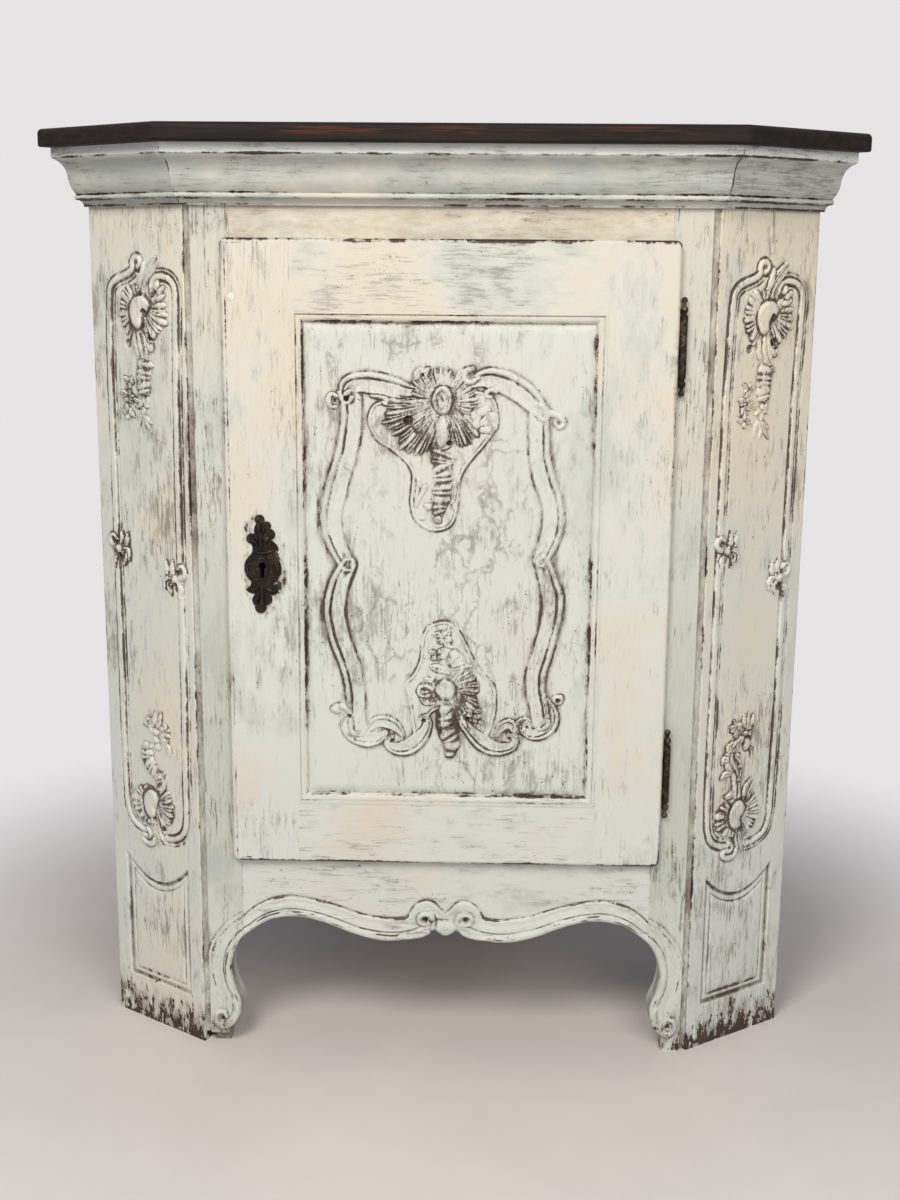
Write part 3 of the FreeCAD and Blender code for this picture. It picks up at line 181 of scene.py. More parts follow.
def paintCoat(name, upright, edgeOf=None, carved=False, tone=None):
    # upright: the grain runs up; edgeOf: nearness to a worn edge; carved: the mesh has its own marks
    look = dict(chalkPaint, **(tone or {}))
    zone = paintZones
    material, pad, place = startMaterial(name)
    x, y, z = splitPlace(place)
    along = (1.0, 1.0, 0.075) if upright else (0.075, 0.075, 1.0)
    half = (1.0, 1.0, 0.40) if upright else (0.40, 0.40, 1.0)
    broad = (1.0, 1.0, 0.65) if upright else (0.65, 0.65, 1.0)
    hair = place.scaled(along).noise(400.0, 3.0, 0.66) - 0.5
    patch = place.noise(3.3, 2.0, 0.5) - 0.5
    cloud = place.moved((3.1, 1.7, 5.3)).scaled(broad).noise(13.0, 5.0, 0.60) - 0.5
    mottle = place.moved((9.4, 2.2, 1.1)).scaled(half).noise(62.0, 6.0, 0.72) - 0.5
    fine = place.noise(170.0, 3.0, 0.65) - 0.5
    mood = place.moved((4.2, 6.1, 0.4)).noise(5.2, 2.0, 0.55) - 0.5

    whiter = (patch + cloud * 0.8 + mottle * 0.3 + z.fade(*zone["pale"]) * 0.26 - 0.12).fade(-0.24, 0.24)
    colour = pad.blend(whiter, look["cream"], look["white"])
    sage = (cloud + mottle * 0.6 + patch * 0.5).fade(-0.02, 0.22)
    dull = z.fade(*zone["dull"]) * look["lowDull"] + look["dull"]
    dull = dull * (z.fade(*zone["dullAbove"]) * 0.7 + 0.3)
    colour = colour.tint(sage * look["sageShare"] * (1 - look["dull"]) + dull, look["sage"])
    # painted shade: cool blue-grey below the cornice and under the door, bluer towards the outer corners,
    # with random cool patches mixed in
    coolShade = z.fade(*zone["shadeBelowCornice"]) + z.fade(*zone["shadeUnderDoorLow"]) * z.fade(*zone["shadeUnderDoorHigh"])
    coolShade = coolShade + abs(x).fade(*zone["coldCorner"]) * 0.4
    coolShade = (coolShade * 0.30 + cloud + mottle * 0.5 - 0.10).fade(0.0, 0.34)
    colour = colour.tint(coolShade * look["coolShadeShare"], look["shadeBlueGrey"])
    warm = (z.fade(*zone["warmTop"]) * 0.16 + patch * 0.8 + mottle * 0.7 - 0.05).fade(0.0, 0.24)
    colour = colour.tint(warm * look["warmShare"], look["tan"])
    if look["fasciaHighlightShare"]:   # painted light and shade on the cornice: blue-grey painted shade on its upper part and at its foot, and a painted highlight on the fascia under the top board
        corniceShade = z.fade(*zone["corniceUpperShade"]) + z.fade(*zone["corniceFootShade"])
        colour = colour.tint(corniceShade * 0.34, look["shadeBlueGrey"])
        colour = colour.tint(z.fade(*zone["fasciaHighlightBand"]) * look["fasciaHighlightShare"], look["fascia"])
    # brush hairs, light and dark, and rubbed-in grime
    colour = colour.tint(hair.fade(0.0, -0.20) * 0.30, look["white"])
    strands = (hair + mood * 0.6 + mottle * 0.5).fade(0.04, 0.24)
    colour = colour.tint(strands * look["hairShare"], look["umber"])
    smudge = (mottle + hair * 0.5 + mood * 0.8 + cloud * 0.3 - 0.04).fade(0.0, 0.24)
    colour = colour.tint(smudge * look["grimeShare"], look["umber"])
    if look["crackShare"]:
        sway = place.noise(40.0, 4.0, 0.6, out=1).scaled((0.035, 0.035, 0.035))
        bent = sway.moved(place.scaled((1.0, 1.0, 0.6)))
        web = pad.node("TexVoronoi", {"feature": "DISTANCE_TO_EDGE"}, {"Vector": bent, "Scale": 26.0})
        middle = (cloud + mottle * 0.9 + mood * 0.6 + (0.13 - abs(x)) * 1.4).fade(0.02, 0.22)
        middle = middle * y.fade(*zone["crackFace"])
        colour = colour.tint(web.fade(0.085, 0.0) * middle * look["crackShare"], look["umber"])

    dash = place.scaled(half).noise(60.0, 5.0, 0.72) - 0.5
    loose = dash * 1.2 + fine * 0.4
    if carved:
        keys = ("edge", "hollowWaxAndShade", "crest", "dark")
        edge, hollowWaxAndShade, crest, dark = (pad.node("Attribute", {"attribute_name": key}, {}, 2) for key in keys)
    if edgeOf:
        given = edgeOf(x, y, z)
        edge = edge.most(given) if carved else given
    rub = edge * (0.64 + mood * 1.1)
    if carved:
        colour = colour.tint(crest * 0.25, look["white"])
        # umber in the wide recesses of the carving: partly old wax, partly painted shade
        hollowWashWaxAndShade = (hollowWaxAndShade * (0.75 + mottle * 3.5 + mood * 2.0)).fade(0.05, 0.75)
        colour = colour.tint(hollowWashWaxAndShade * 0.72, look["umber"])
        lines = dark * (0.64 + loose * 3.4 + mood * 2.4)
        colour = colour.tint(lines.fade(0.10, 0.50) * 0.45, look["umber"])
        colour = colour.tint(lines.fade(0.36, 0.66) * 0.95, look["wax"])
        rub = rub.most(crest * 0.40)
    wear = rub + loose
    chip = wear.fade(0.60, 0.65)
    colour = colour.tint(wear.fade(0.44, 0.64) * 0.55, look["umber"])
    # the feet are stained brown and worn in ragged streaks from the floor up
    soiled = (z.fade(*zone["soiled"]) * (0.75 + mottle * 4.0 + hair * 1.5)).fade(0.15, 0.85)
    colour = colour.tint(soiled * 0.62, look["umber"])
    ragged = place.scaled((1.0, 1.0, 0.30)).noise(125.0, 5.0, 0.75) - 0.5
    kept = place.moved((2.2, 5.1, 7.7)).noise(52.0, 4.0, 0.6).fade(0.60, 0.57)
    lost = (ragged * 0.24 + mottle * 0.16 + fine * 0.08 + look["footWear"] - z).fade(0.0, 0.004) * kept
    chip = chip.most(lost)
    speck = place.moved((1.3, 8.8, 2.9)).noise(300.0, 2.0, 0.5)
    chip = chip.most(speck.fade(0.69, 0.72) * (mottle + mood).fade(-0.03, 0.12))
    colour = colour.tint(chip, pad.blend(mottle.fade(0.0, 0.14), look["wood"], look["redWood"]))
    rough = look["rough"] + hair * 0.10 - chip * 0.12
    height = hair * 0.35 + fine * 0.25 + mottle * 0.35 - chip * 0.9
    endMaterial(pad, colour, rough, height, 0.0006)
    return material


# nearness to worn edges, 1 on the edge and 0 a few millimetres away

doorSizes = {   # in metres, from the middle and from the floor
    "half": 0.2805, "low": 0.268, "high": 1.070,
    "openHalf": 0.193, "openLow": 0.350, "openHigh": 0.983,
    "plateLeft": 0.234, "plateRise": 0.668, "keyLeft": 0.2345, "keyRise": 0.659,
    "middleRise": 0.669, "hingeGap": 0.274,
}
corniceSizes = {"lines": (1.166, 1.1226, 1.1163, 1.1092), "mitreSlope": 0.3153}


def doorEdge(x, y, z):
    p = doorSizes
    rim = (p["half"] - abs(x)).least((z - p["low"]).least(p["high"] - z))
    inner = (abs(x) - p["openHalf"]).most((p["openLow"] - z).most(z - p["openHigh"]))
    # most wear at the top edge, the lower right edge and the foot of the door; along the lower right edge it
    # is also painted shade of the gap beside the door
    heavy = z.fade(1.052, 1.068) * (0.26 + x.fade(-0.16, 0.0) * 0.14 + x.fade(0.14, 0.24) * 0.10)
    heavy = heavy + z.fade(0.60, 0.35) * x.fade(0.26, 0.275) * 0.3 + z.fade(0.285, 0.27) * 0.32
    # and chipped round the lock plate and beside the hinges
    plateX, plateZ = x + p["plateLeft"], z - p["plateRise"]
    plate = (plateX * plateX * 1050.0 + plateZ * plateZ * 190.0).fade(1.5, 0.8) * 0.85
    fromHinge = abs(abs(z - p["middleRise"]) - p["hingeGap"])
    hinges = x.fade(0.258, 0.278) * fromHinge.fade(0.085, 0.045) * 0.85
    top = z.fade(1.0615, 1.0665) * x.fade(-0.20, -0.12) * 1.06
    lip = abs(rim - 0.0060).fade(0.0026, 0.0003) * x.fade(-0.24, -0.26) * 0.93
    worn = (rim.fade(0.0095, 0.0005) * (0.80 + heavy)).most(plate).most(hinges).most(lip).most(top)
    # near-black inside the keyhole
    keyX, keyZ = x + p["keyLeft"], z - p["keyRise"]
    keyhole = (keyX * keyX * 14000.0 + keyZ * keyZ * 5000.0).fade(1.3, 0.9) * 2.5
    return worn.most(inner.fade(0.004, 0.0) * 0.5).most(keyhole)


def doorJoint(x, y, z):
    return doorEdge(x, y, z).most(abs(abs(x) - doorSizes["openHalf"]).fade(0.0016, 0.0) * 0.6)


def mouldingEdge(x, y, z):
    p = doorSizes
    reach = (p["openHalf"] - abs(x)).least((z - p["openLow"]).least(p["openHigh"] - z))
    quirk = abs(reach - 0.0040).fade(0.0026, 0.0004) * 0.8
    step = abs(reach - 0.0118).fade(0.0042, 0.0006) * 0.96
    return quirk.most(step).most(reach.fade(0.0018, 0.0) * 0.72)


def corniceEdge(x, y, z):
    fascia, upper, middle, lower = (abs(z - line) for line in corniceSizes["lines"])
    near = fascia.least(upper.least(middle)).least(lower)
    out = (mm * cabinet["frontY"] - y) * corniceSizes["mitreSlope"]
    mitre = abs(mm * cabinet["halfFront"] + out - abs(x))
    return near.fade(0.0040, 0.0003).most(mitre.fade(0.0030, 0.0)) * 0.92


def railEdge(x, y, z):
    return abs(abs(x) - mm * cabinet["halfOpening"]).fade(0.0022, 0.0) * 0.8


# a worn dark board for the top

def stainedTop():
    look = {
        "dark": (0.009, 0.007, 0.006, 1),
        "brown": (0.020, 0.013, 0.010, 1),
        "red": (0.095, 0.032, 0.015, 1),
        "dust": (0.040, 0.034, 0.030, 1),
    }
    material, pad, place = startMaterial("stainedTop")
    x, y, z = splitPlace(place)
    grain = place.scaled((0.05, 1.0, 1.0)).noise(120.0, 5.0, 0.6)
    broad = place.scaled((0.12, 1.0, 1.0)).noise(26.0, 4.0, 0.6)
    fine = place.noise(190.0, 3.0, 0.6)
    colour = pad.blend(grain.fade(0.40, 0.66), look["dark"], look["brown"])
    # the front edge is rubbed to a red brown in streaks, the ends stay black
    streak = place.scaled((0.03, 1.0, 1.0)).noise(420.0, 4.0, 0.68)
    front = y.fade(-0.300, -0.313) * abs(x - 0.05).fade(0.36, 0.20)
    front = front * z.fade(1.199, 1.196) * z.fade(1.179, 1.189)
    rubbed = (front * 0.30 + streak * 0.9 + broad * 0.5 - 0.98).fade(0.0, 0.12)
    colour = colour.tint(rubbed * 0.8, look["red"])
    dusty = (fine * 0.5 + broad * 0.6 - 0.62).fade(0.0, 0.2)
    colour = colour.tint(dusty * 0.22, look["dust"])
    rough = 0.50 + grain * 0.22 + rubbed * 0.18
    endMaterial(pad, colour, rough, grain * 0.6 + fine * 0.3, 0.0007, **{"Specular IOR Level": 0.14})
    return material


def bareWood(name, along, light, dark):
    # along: how much each axis is drawn out; plain boards darkened with age
    aged = (0.10, 0.075, 0.055, 1)
    material, pad, place = startMaterial(name)
    ring = place.scaled(along).noise(34.0, 5.0, 0.62, 0.6)
    grain = place.scaled(along).noise(210.0, 4.0, 0.6)
    cloud = place.noise(5.0, 4.0, 0.6)
    rings = ring * 7.0
    wave = abs(rings - rings.sum("ROUND", rings)).fade(0.02, 0.42)
    colour = pad.blend(wave, dark, light)
    colour = colour.tint(grain.fade(0.46, 0.68) * 0.5, dark)
    colour = colour.tint(cloud.fade(0.48, 0.7) * 0.45, aged)
    endMaterial(pad, colour, 0.68 + grain * 0.14, grain * 0.6 + wave * 0.25, 0.0008)
    return material


def darkIron(name, brassy):
    # hand-forged iron, browned, with bright rubbed spots
    look = {
        "black": (0.010, 0.007, 0.005, 1),
        "brown": (0.022, 0.014, 0.009, 1),
        "bright": (0.36, 0.25, 0.13, 1),
    }
    material, pad, place = startMaterial(name)
    cloud = place.noise(60.0, 5.0, 0.65)
    fine = place.noise(420.0, 3.0, 0.6)
    worn = (cloud * 0.7 + fine * 0.55 - 0.60).fade(0.02, 0.16)
    colour = pad.blend(cloud.fade(0.36, 0.62), look["black"], look["brown"])
    colour = colour.tint(worn * brassy, look["bright"])
    rough = 0.46 + fine * 0.25 - worn * 0.12
    endMaterial(pad, colour, rough, cloud * 0.6 + fine * 0.4, 0.0008, 0.6, Metallic=0.65)
    return material


def whitePlug():
    plug = {
        "x": -0.267, "z": 1.000, "rim": 0.0055,
        "white": (0.74, 0.73, 0.66, 1), "grey": (0.66, 0.64, 0.57, 1),
    }
    material, pad, place = startMaterial("whitePlug")
    x, y, z = splitPlace(place)
    fine = place.noise(500.0, 3.0, 0.6)
    across, rise = x - plug["x"], z - plug["z"]
    out = (across * across + rise * rise) ** 0.5
    colour = pad.blend(fine.fade(0.4, 0.7), plug["white"], plug["grey"])
    # a darker ring at the rim: painted shade of the gap round the plug
    colour = colour.tint(out.fade(plug["rim"] - 0.0014, plug["rim"]) * 0.55, chalkPaint["umber"])
    endMaterial(pad, colour, 0.5 + fine * 0.2, fine, 0.0004, 0.4)
    return material


doorTone = {"sageShare": 0.55, "coolShadeShare": 0.2, "grimeShare": 0.38}
mouldingTone = {"grimeShare": 0.26}
finish = {
    "doorUpright": paintCoat("doorPaintUpright", True, doorEdge, tone=doorTone),
    "doorAcross": paintCoat("doorPaintAcross", False, doorJoint, tone=dict(doorTone, grimeShare=0.40)),
    "moulding": paintCoat("mouldingPaint", True, mouldingEdge, tone=mouldingTone),
    "mouldingAcross": paintCoat("mouldingPaintAcross", False, mouldingEdge, tone=mouldingTone),
    # the cornice takes the strongest blue-grey painted shade and the fascia's painted highlight
    "cornice": paintCoat("cornicePaint", False, corniceEdge, tone={
        "cream": (0.640, 0.610, 0.520, 1), "white": (0.625, 0.640, 0.600, 1),
        "coolShadeShare": 0.7, "grimeShare": 0.5, "fasciaHighlightShare": 0.75}),
    "rail": paintCoat("railPaint", False, railEdge, tone={
        "warmShare": 0.8, "coolShadeShare": 0.2, "sageShare": 0.4}),
    "stile": paintCoat("stilePaint", True, None, True, {
        "dull": 0.40, "sageShare": 0.8, "coolShadeShare": 0.4, "hairShare": 0.95, "grimeShare": 0.66,
        "footWear": 0.002, "lowDull": 0.40}),
    "side": paintCoat("sidePaint", True, None, True, {
        "cream": (0.725, 0.668, 0.525, 1),
        "sageShare": 0.30, "coolShadeShare": 0.0, "hairShare": 0.50, "grimeShare": 0.52}),
    "apron": paintCoat("apronPaint", False, railEdge, True, {
        "dull": 0.12, "sageShare": 0.7, "coolShadeShare": 0.6}),
    "panel": paintCoat("panelPaint", True, None, True, {
        "cream": (0.630, 0.625, 0.550, 1), "sageShare": 0.6, "crackShare": 0.5, "grimeShare": 0.36}),
    "top": stainedTop(),
    "backBoards": bareWood("backBoardWood", (1.0, 1.0, 0.05), (0.30, 0.20, 0.12, 1), (0.16, 0.10, 0.06, 1)),
    "shelves": bareWood("shelfWood", (0.05, 1.0, 1.0), (0.36, 0.25, 0.15, 1), (0.20, 0.13, 0.08, 1)),
    "greyBlock": bareWood("greyBlockWood", (1.0, 0.1, 1.0), (0.30, 0.29, 0.26, 1), (0.17, 0.16, 0.145, 1)),
    "iron": darkIron("darkIron", 0.09),
    "hinge": darkIron("hingeIron", 0.32),
    "plug": whitePlug(),
}
print("finishes made:", len(finish))

nodeFinish = {
    "top": ["top_board"],
    "cornice": ["front_cornice", "left_cornice", "right_cornice"],
    "rail": ["top_rail", "frame_tenon_pegs"],
    "doorUpright": ["door_hinge_stile", "door_lock_stile", "door_tenon_pegs"],
    "doorAcross": ["door_top_rail", "door_bottom_rail"],
    "moulding": ["door_moulding_left", "door_moulding_right"],
    "mouldingAcross": ["door_moulding_top", "door_moulding_bottom"],
    "greyBlock": ["left_foot_block"],
    "shelves": ["bottom_board", "lower_shelf", "upper_shelf", "bottom_front_cleat"],
    "hinge": ["lower_hinge_frame_half", "lower_hinge_door_half", "upper_hinge_frame_half",
              "upper_hinge_door_half"],
    "iron": ["lock_keeper", "lock_case", "lock_screws", "lock_bolt", "escutcheon", "escutcheon_pins",
             "back_board_nails"],
    "plug": ["door_plug"],
}


def dressNode(name, material):
    mesh = nodes[name].data
    mesh.materials.clear()
    mesh.materials.append(material)


for name in nodes:
    dressNode(name, finish["backBoards"])
for key, names in nodeFinish.items():
    for name in names:
        dressNode(name, finish[key])


# carving: heights in millimetres over a set of points

def spots(points):
    # points as text, "across rise, across rise", or as pairs
    if isinstance(points, str):
        points = [pair.split() for pair in points.split(",")]
    return np.array(points, float)


def ringOf(centre, across, tall):
    turns = [k * twelfth for k in range(12)]
    return [(centre[0] + across * math.cos(t), centre[1] + tall * math.sin(t)) for t in turns]


def smoothPath(points, step=1.6):
    # a rounded line through the points, with even steps
    p = spots(points)
    ends = np.vstack([2 * p[0] - p[1], p, 2 * p[-1] - p[-2]])
    t = np.linspace(0, 1, 17)[:-1, None]
    runs = []
    for a, b, c, d in zip(ends, ends[1:], ends[2:], ends[3:]):
        square = 2 * a - 5 * b + 4 * c - d
        cube = 3 * b - a - 3 * c + d
        runs.append(0.5 * (2 * b + (c - a) * t + square * t**2 + cube * t**3))
    line = np.vstack(runs + [p[-1:]])
    way = np.concatenate([[0], np.cumsum(np.hypot(*np.diff(line, axis=0).T))])
    even = np.linspace(0, way[-1], max(4, int(way[-1] / step)))
    return np.column_stack([np.interp(even, way, line[:, 0]), np.interp(even, way, line[:, 1])])


def handSway(a, z, turn):
    # hand carving never runs quite true
    return (0.55 * np.sin(a / 9.1 + 1.7 * np.sin(z / 13.7 + turn) + turn)
            + 0.30 * np.sin(z / 5.3 + 2.1 * np.sin(a / 7.9 - turn)) + 0.18 * np.sin((a - z) / 3.1 + 3 * turn))


def roundTop(q):
    return np.sqrt(np.clip(1 - q * q, 0, 1))


# sections across a stroke, from -1 at its right side to 1 at its left: the rise, and the wax in its lines

def plainRoll(q):
    return roundTop(q), 0 * q


def veined(q):   # a leaf's round back with a groove along it
    vein = np.exp(-(q / 0.17) ** 2)
    return roundTop(q) * (1 - 0.5 * vein), 0.6 * vein


def rollAndHollow(q):   # a thin roll, a quirk, a broad shallow hollow and a fillet
    places = [-1.0, -0.92, -0.74, -0.52, -0.40, -0.28, 0.20, 0.72, 0.84, 0.93, 1.0]
    rise = np.interp(q, places, [0.0, 0.68, 1.0, 0.80, 0.26, 0.52, 0.38, 0.46, 0.58, 0.50, 0.0])
    return rise, 1.1 * np.exp(-((q + 0.39) / 0.13) ** 2) + 0.75 * np.exp(-((q - 0.98) / 0.09) ** 2)


def flatBand(q):   # a flat fillet with rounded arrises
    return np.clip((1 - np.abs(q)) / 0.35, 0, 1) ** 0.6, 0 * q


def hollowAndRoll(q):
    return rollAndHollow(-q)


class Relief:
    def __init__(self, across, rise, sway=0.0):
        self.shape = across.shape
        self.a = across.ravel() + sway * handSway(across, rise, 0.4).ravel()
        self.z = rise.ravel() + sway * handSway(rise, across, 2.1).ravel()
        self.h = np.zeros(self.a.size)
        self.dark = np.zeros(self.a.size)   # wax in the lines of the carving

    def lift(self, near, rise, wax):
        # the higher form wins and brings its own lines
        above = rise > self.h[near]
        self.h[near[above]] = rise[above]
        self.dark[near[above]] = wax[above]

    def rule(self, near, gap, reach, wax):
        self.dark[near] = np.maximum(self.dark[near], wax * np.clip(1 - (gap / reach) ** 2, 0, 1))

    def beside(self, path, reach):
        # points near a line: which, how far to its left, and how far along
        low, high = path.min(0) - reach, path.max(0) + reach
        near = np.nonzero((self.a > low[0]) & (self.a < high[0]) & (self.z > low[1]) & (self.z < high[1]))[0]
        pa, pz = self.a[near], self.z[near]
        best = np.full(near.size, 1e9)
        gap = np.zeros(near.size)
        along = np.zeros(near.size)
        runs = np.hypot(*np.diff(path, axis=0).T)
        way = np.concatenate([[0], np.cumsum(runs)])
        for k, run in enumerate(runs):
            da, dz = (path[k + 1] - path[k]) / run
            ga, gz = pa - path[k, 0], pz - path[k, 1]
            t = np.clip(ga * da + gz * dz, 0, run)
            ea, ez = ga - t * da, gz - t * dz
            far = ea * ea + ez * ez
            closer = far < best
            best[closer] = far[closer]
            gap[closer] = np.sign(da * ez - dz * ea)[closer]
            along[closer] = (way[k] + t)[closer]
        return near, np.sqrt(best) * gap, along / way[-1]

    def course(self, points, width, margin):
        # points beside a line, and the line's half width there; width is one number or several along it
        widths = np.atleast_1d(np.array(width, float))
        near, gap, along = self.beside(smoothPath(points), widths.max() / 2 + margin)
        return near, gap, along, np.interp(along, np.linspace(0, 1, widths.size), widths) / 2

    def stroke(self, points, width, height, section=plainRoll, base=0.0, foot=0.6):
        # foot is the wax beside it
        near, gap, along, half = self.course(points, width, 3)
        past = np.abs(gap) - half
        self.rule(near, past - 0.4, 1.3, foot)
        hit = past < 0
        rise, wax = section(gap[hit] / half[hit])
        self.lift(near[hit], base + height * rise, wax)

    def groove(self, paths, width, depth, wax):
        # one groove, or several with / between
        for points in paths.split("/"):
            near, gap, along = self.beside(smoothPath(points), width)
            self.h[near] -= depth * np.clip(1 - (gap / (width / 2)) ** 2, 0, 1)
            self.rule(near, gap, width / 2, wax)

    def leaf(self, paths, width, height, base=0.0, foot=0.6):
        # one leaf, or several with / between
        t = np.linspace(0, 1, 12)
        widths = width * np.maximum(np.sin(np.pi * t**0.75), 0.10)
        for points in paths.split("/") if isinstance(paths, str) else [paths]:
            self.stroke(points, widths, height, veined, base, foot)

    def ribs(self, points, width, height, count, base=0.0, lean=0.18):
        # a stem of rounded rings
        near, gap, along, half = self.course(points, width, 1)
        turns = along * count + 0.18 * np.sin(along * count * 2.6 + 1.0)
        ring = np.abs(np.sin(np.pi * (turns + lean * (1 + 0.5 * np.sin(turns * 1.9)) * gap / half))) ** 0.6
        half = half * (0.84 + 0.16 * ring)
        q = gap / half
        hit = (np.abs(q) < 1) & (along > 0.001) & (along < 0.999)
        rise = base + height * (roundTop(q) ** 0.8) * (0.52 + 0.48 * ring)
        self.lift(near[hit], rise[hit], (1.15 * (1 - ring) ** 0.8 + 0.35 * q**4)[hit])

    def oval(self, centre, size, turn=0.0):
        # distance from the centre, 1 on the rim of an oval; size is one half width or two
        ga, gz = self.a - centre[0], self.z - centre[1]
        c, s = math.cos(math.radians(turn)), math.sin(math.radians(turn))
        across, tall = np.broadcast_to(size, 2)
        return np.hypot((ga * c + gz * s) / across, (gz * c - ga * s) / tall)

    def dome(self, centre, size, height, turn=0.0, base=0.0, moat=0.0):
        q = self.oval(centre, size, turn)
        if moat < 1:   # small lumps are uneven, bosses are true
            angle = np.arctan2(self.z - centre[1], self.a - centre[0])
            q = q * (1 + 0.11 * np.sin(3 * angle + centre[0] * 1.7 + centre[1]))
        ring = np.nonzero((q > 1) & (q < 1.35))[0]
        self.h[ring] -= moat * np.sin((q[ring] - 1) / 0.35 * np.pi)
        self.rule(ring, q[ring] - 1.1, 0.22, min(1.0, 0.35 + 0.4 * moat))
        hit = np.nonzero(q < 1)[0]
        self.lift(hit, base + height * roundTop(q[hit]), 0.5 * q[hit] ** 8)

    def hole(self, centre, size, depth):
        q = self.oval(centre, size)
        hit = np.nonzero(q < 1)[0]
        self.h[hit] -= depth * np.clip(1.35 * (1 - q[hit] ** 4), 0, 1)
        self.dark[hit] = np.maximum(self.dark[hit], 1.9 - 0.9 * q[hit])

    def fan(self, centre, angles, radii, inner, count, height, base=0.0, sway=0.0, plain=0.0):
        # flutes spread round an eye with a scalloped rim; plain is the smooth share near the eye
        ga, gz = self.a - centre[0], self.z - centre[1]
        r = np.hypot(ga, gz)
        start, end = math.radians(angles[0]), math.radians(angles[1])
        turn = (np.arctan2(gz, ga) - start + sway * (r - inner) / 40.0) % (2 * math.pi)
        share = turn / (end - start)
        outer = np.interp(share, np.linspace(0, 1, len(radii)), radii)
        uneven = share * count + 0.22 * np.sin(share * count * 2.3 + 1.0 + height)
        chance = np.modf(np.abs(np.sin(np.floor(uneven) * 12.9 + centre[0] + 4.1 * height)) * 43.7)[0]
        flute = np.abs(np.sin(np.pi * uneven))
        scallop = 0.20 - 0.10 * plain
        outer = outer * (1 - scallop + scallop * flute) * (1 - 0.16 * chance * (1 - plain))
        reach = (r - inner) / np.maximum(outer - inner, 0.1)
        hit = np.nonzero((share < 1) & (reach > 0) & (reach < 1))[0]
        flute, reach, chance = flute[hit], reach[hit], chance[hit]
        thread = np.abs(np.sin(2 * np.pi * uneven[hit] + 3 * chance + 0.6 * reach))
        cutIn = 0.6 * np.clip((reach - plain) / 0.12, 0, 1)
        rise = (1 - cutIn + cutIn * flute**0.8) * (0.50 + 0.62 * reach)
        rise = rise * np.clip((1 - reach) / 0.10, 0, 1) ** 0.5
        rise = rise * (0.82 + 0.22 * chance) * (0.90 + 0.10 * thread)
        wax = ((1 - flute) ** 1.5 * (0.55 + 0.8 * reach) + 0.5 * (1 - thread) ** 3) * (cutIn > 0)
        wax = wax + 0.40 * (reach < plain) * np.clip(reach / 0.2, 0, 1)
        wax = wax + 0.5 * np.clip((reach - 0.93) / 0.07, 0, 1)
        self.lift(hit, base + height * rise, wax)

    def foliage(self, centre, size, count, height, base=0.0):
        # pointed leaves spread round a middle, each bent its own way
        for i in range(count):
            angle = 2 * math.pi * i / count + 0.35 * math.sin(4.7 * i + centre[0]) + 0.1 * centre[1]
            length = size * (0.95 + 0.25 * math.sin(3.3 * i + centre[1]))
            bend = angle + 0.6 * math.sin(2.9 * i + centre[0])
            c, s = math.cos(angle), math.sin(angle)
            start = (centre[0] + 0.12 * size * c, centre[1] + 0.12 * size * s)
            middle = (start[0] + 0.5 * length * c, start[1] + 0.5 * length * s)
            tip = (middle[0] + 0.5 * length * math.cos(bend), middle[1] + 0.5 * length * math.sin(bend))
            self.leaf([start, middle, tip], 0.60 * size, height * (0.8 + 0.3 * math.sin(5.0 * i) ** 2), base)

    def stain(self, centre, size, wax):
        # old wax left over a whole patch of carving
        self.dark += wax * np.clip(1.6 * (1 - self.oval(centre, size)), 0, 1) * (self.h > 0.3)

    def plate(self, outline, height, rim=0.0, edge=2.2, line=1.5):
        # a raised ground inside a closed line
        corners = spots(outline)
        path = smoothPath(np.vstack([corners, corners[:1]]), 2.0)
        near, gap, along = self.beside(path, edge + 4)
        low, high = path.min(0), path.max(0)
        box = np.nonzero((self.a > low[0]) & (self.a < high[0]) & (self.z > low[1]) & (self.z < high[1]))[0]
        pa, pz = self.a[box], self.z[box]
        odd = np.zeros(box.size, bool)
        for (a0, z0), (a1, z1) in zip(path, path[1:]):
            if z0 != z1:
                spans = (z0 > pz) != (z1 > pz)
                odd ^= spans & (pa < (a1 - a0) * (pz - z0) / (z1 - z0) + a0)
        far = np.full(self.a.size, edge + 4.0)
        far[near] = np.abs(gap)
        inside = box[odd]
        rise = height * np.clip(far / edge, 0, 1) ** 0.5 + rim * np.exp(-((far - edge) / 1.6) ** 2)
        wax = (0.55 if rim else 0.0) * np.exp(-((far - edge - 2.6) / 1.0) ** 2)
        self.lift(inside, rise[inside], wax[inside])
        self.rule(near, gap, line, 0.3 + 0.5 * line)

    def grid(self):
        # with the marks of the gouge on what is carved
        gouge = handSway(self.a * 2.3, self.z * 2.3, 1.2) + handSway(self.z * 4.1, self.a * 4.1, 0.3) * 0.6
        return (self.h + 0.22 * gouge * np.clip((self.h - 0.8) / 1.5, 0, 1)).reshape(self.shape)

    def marks(self, height):
        # wide recesses get an umber wash, partly old wax and partly painted shade; crests are rubbed, lines
        # hold wax
        wide = height - blurred(height, 3)
        tight = height - blurred(height, 1)
        crest = np.clip(wide / 1.5, 0, 1) * 0.7 + np.clip(tight / 0.5, 0, 1) * 0.4
        dark = np.maximum(self.dark.reshape(self.shape), np.clip(-tight / 0.5, 0, 1) * 0.75)
        return {
            "hollowWaxAndShade": np.clip(-wide / 2.0, 0, 1),
            "crest": np.clip(crest, 0, 1),
            "dark": dark,
            "edge": np.clip((dark - 0.6) * 2.0, 0, 0.86),
        }


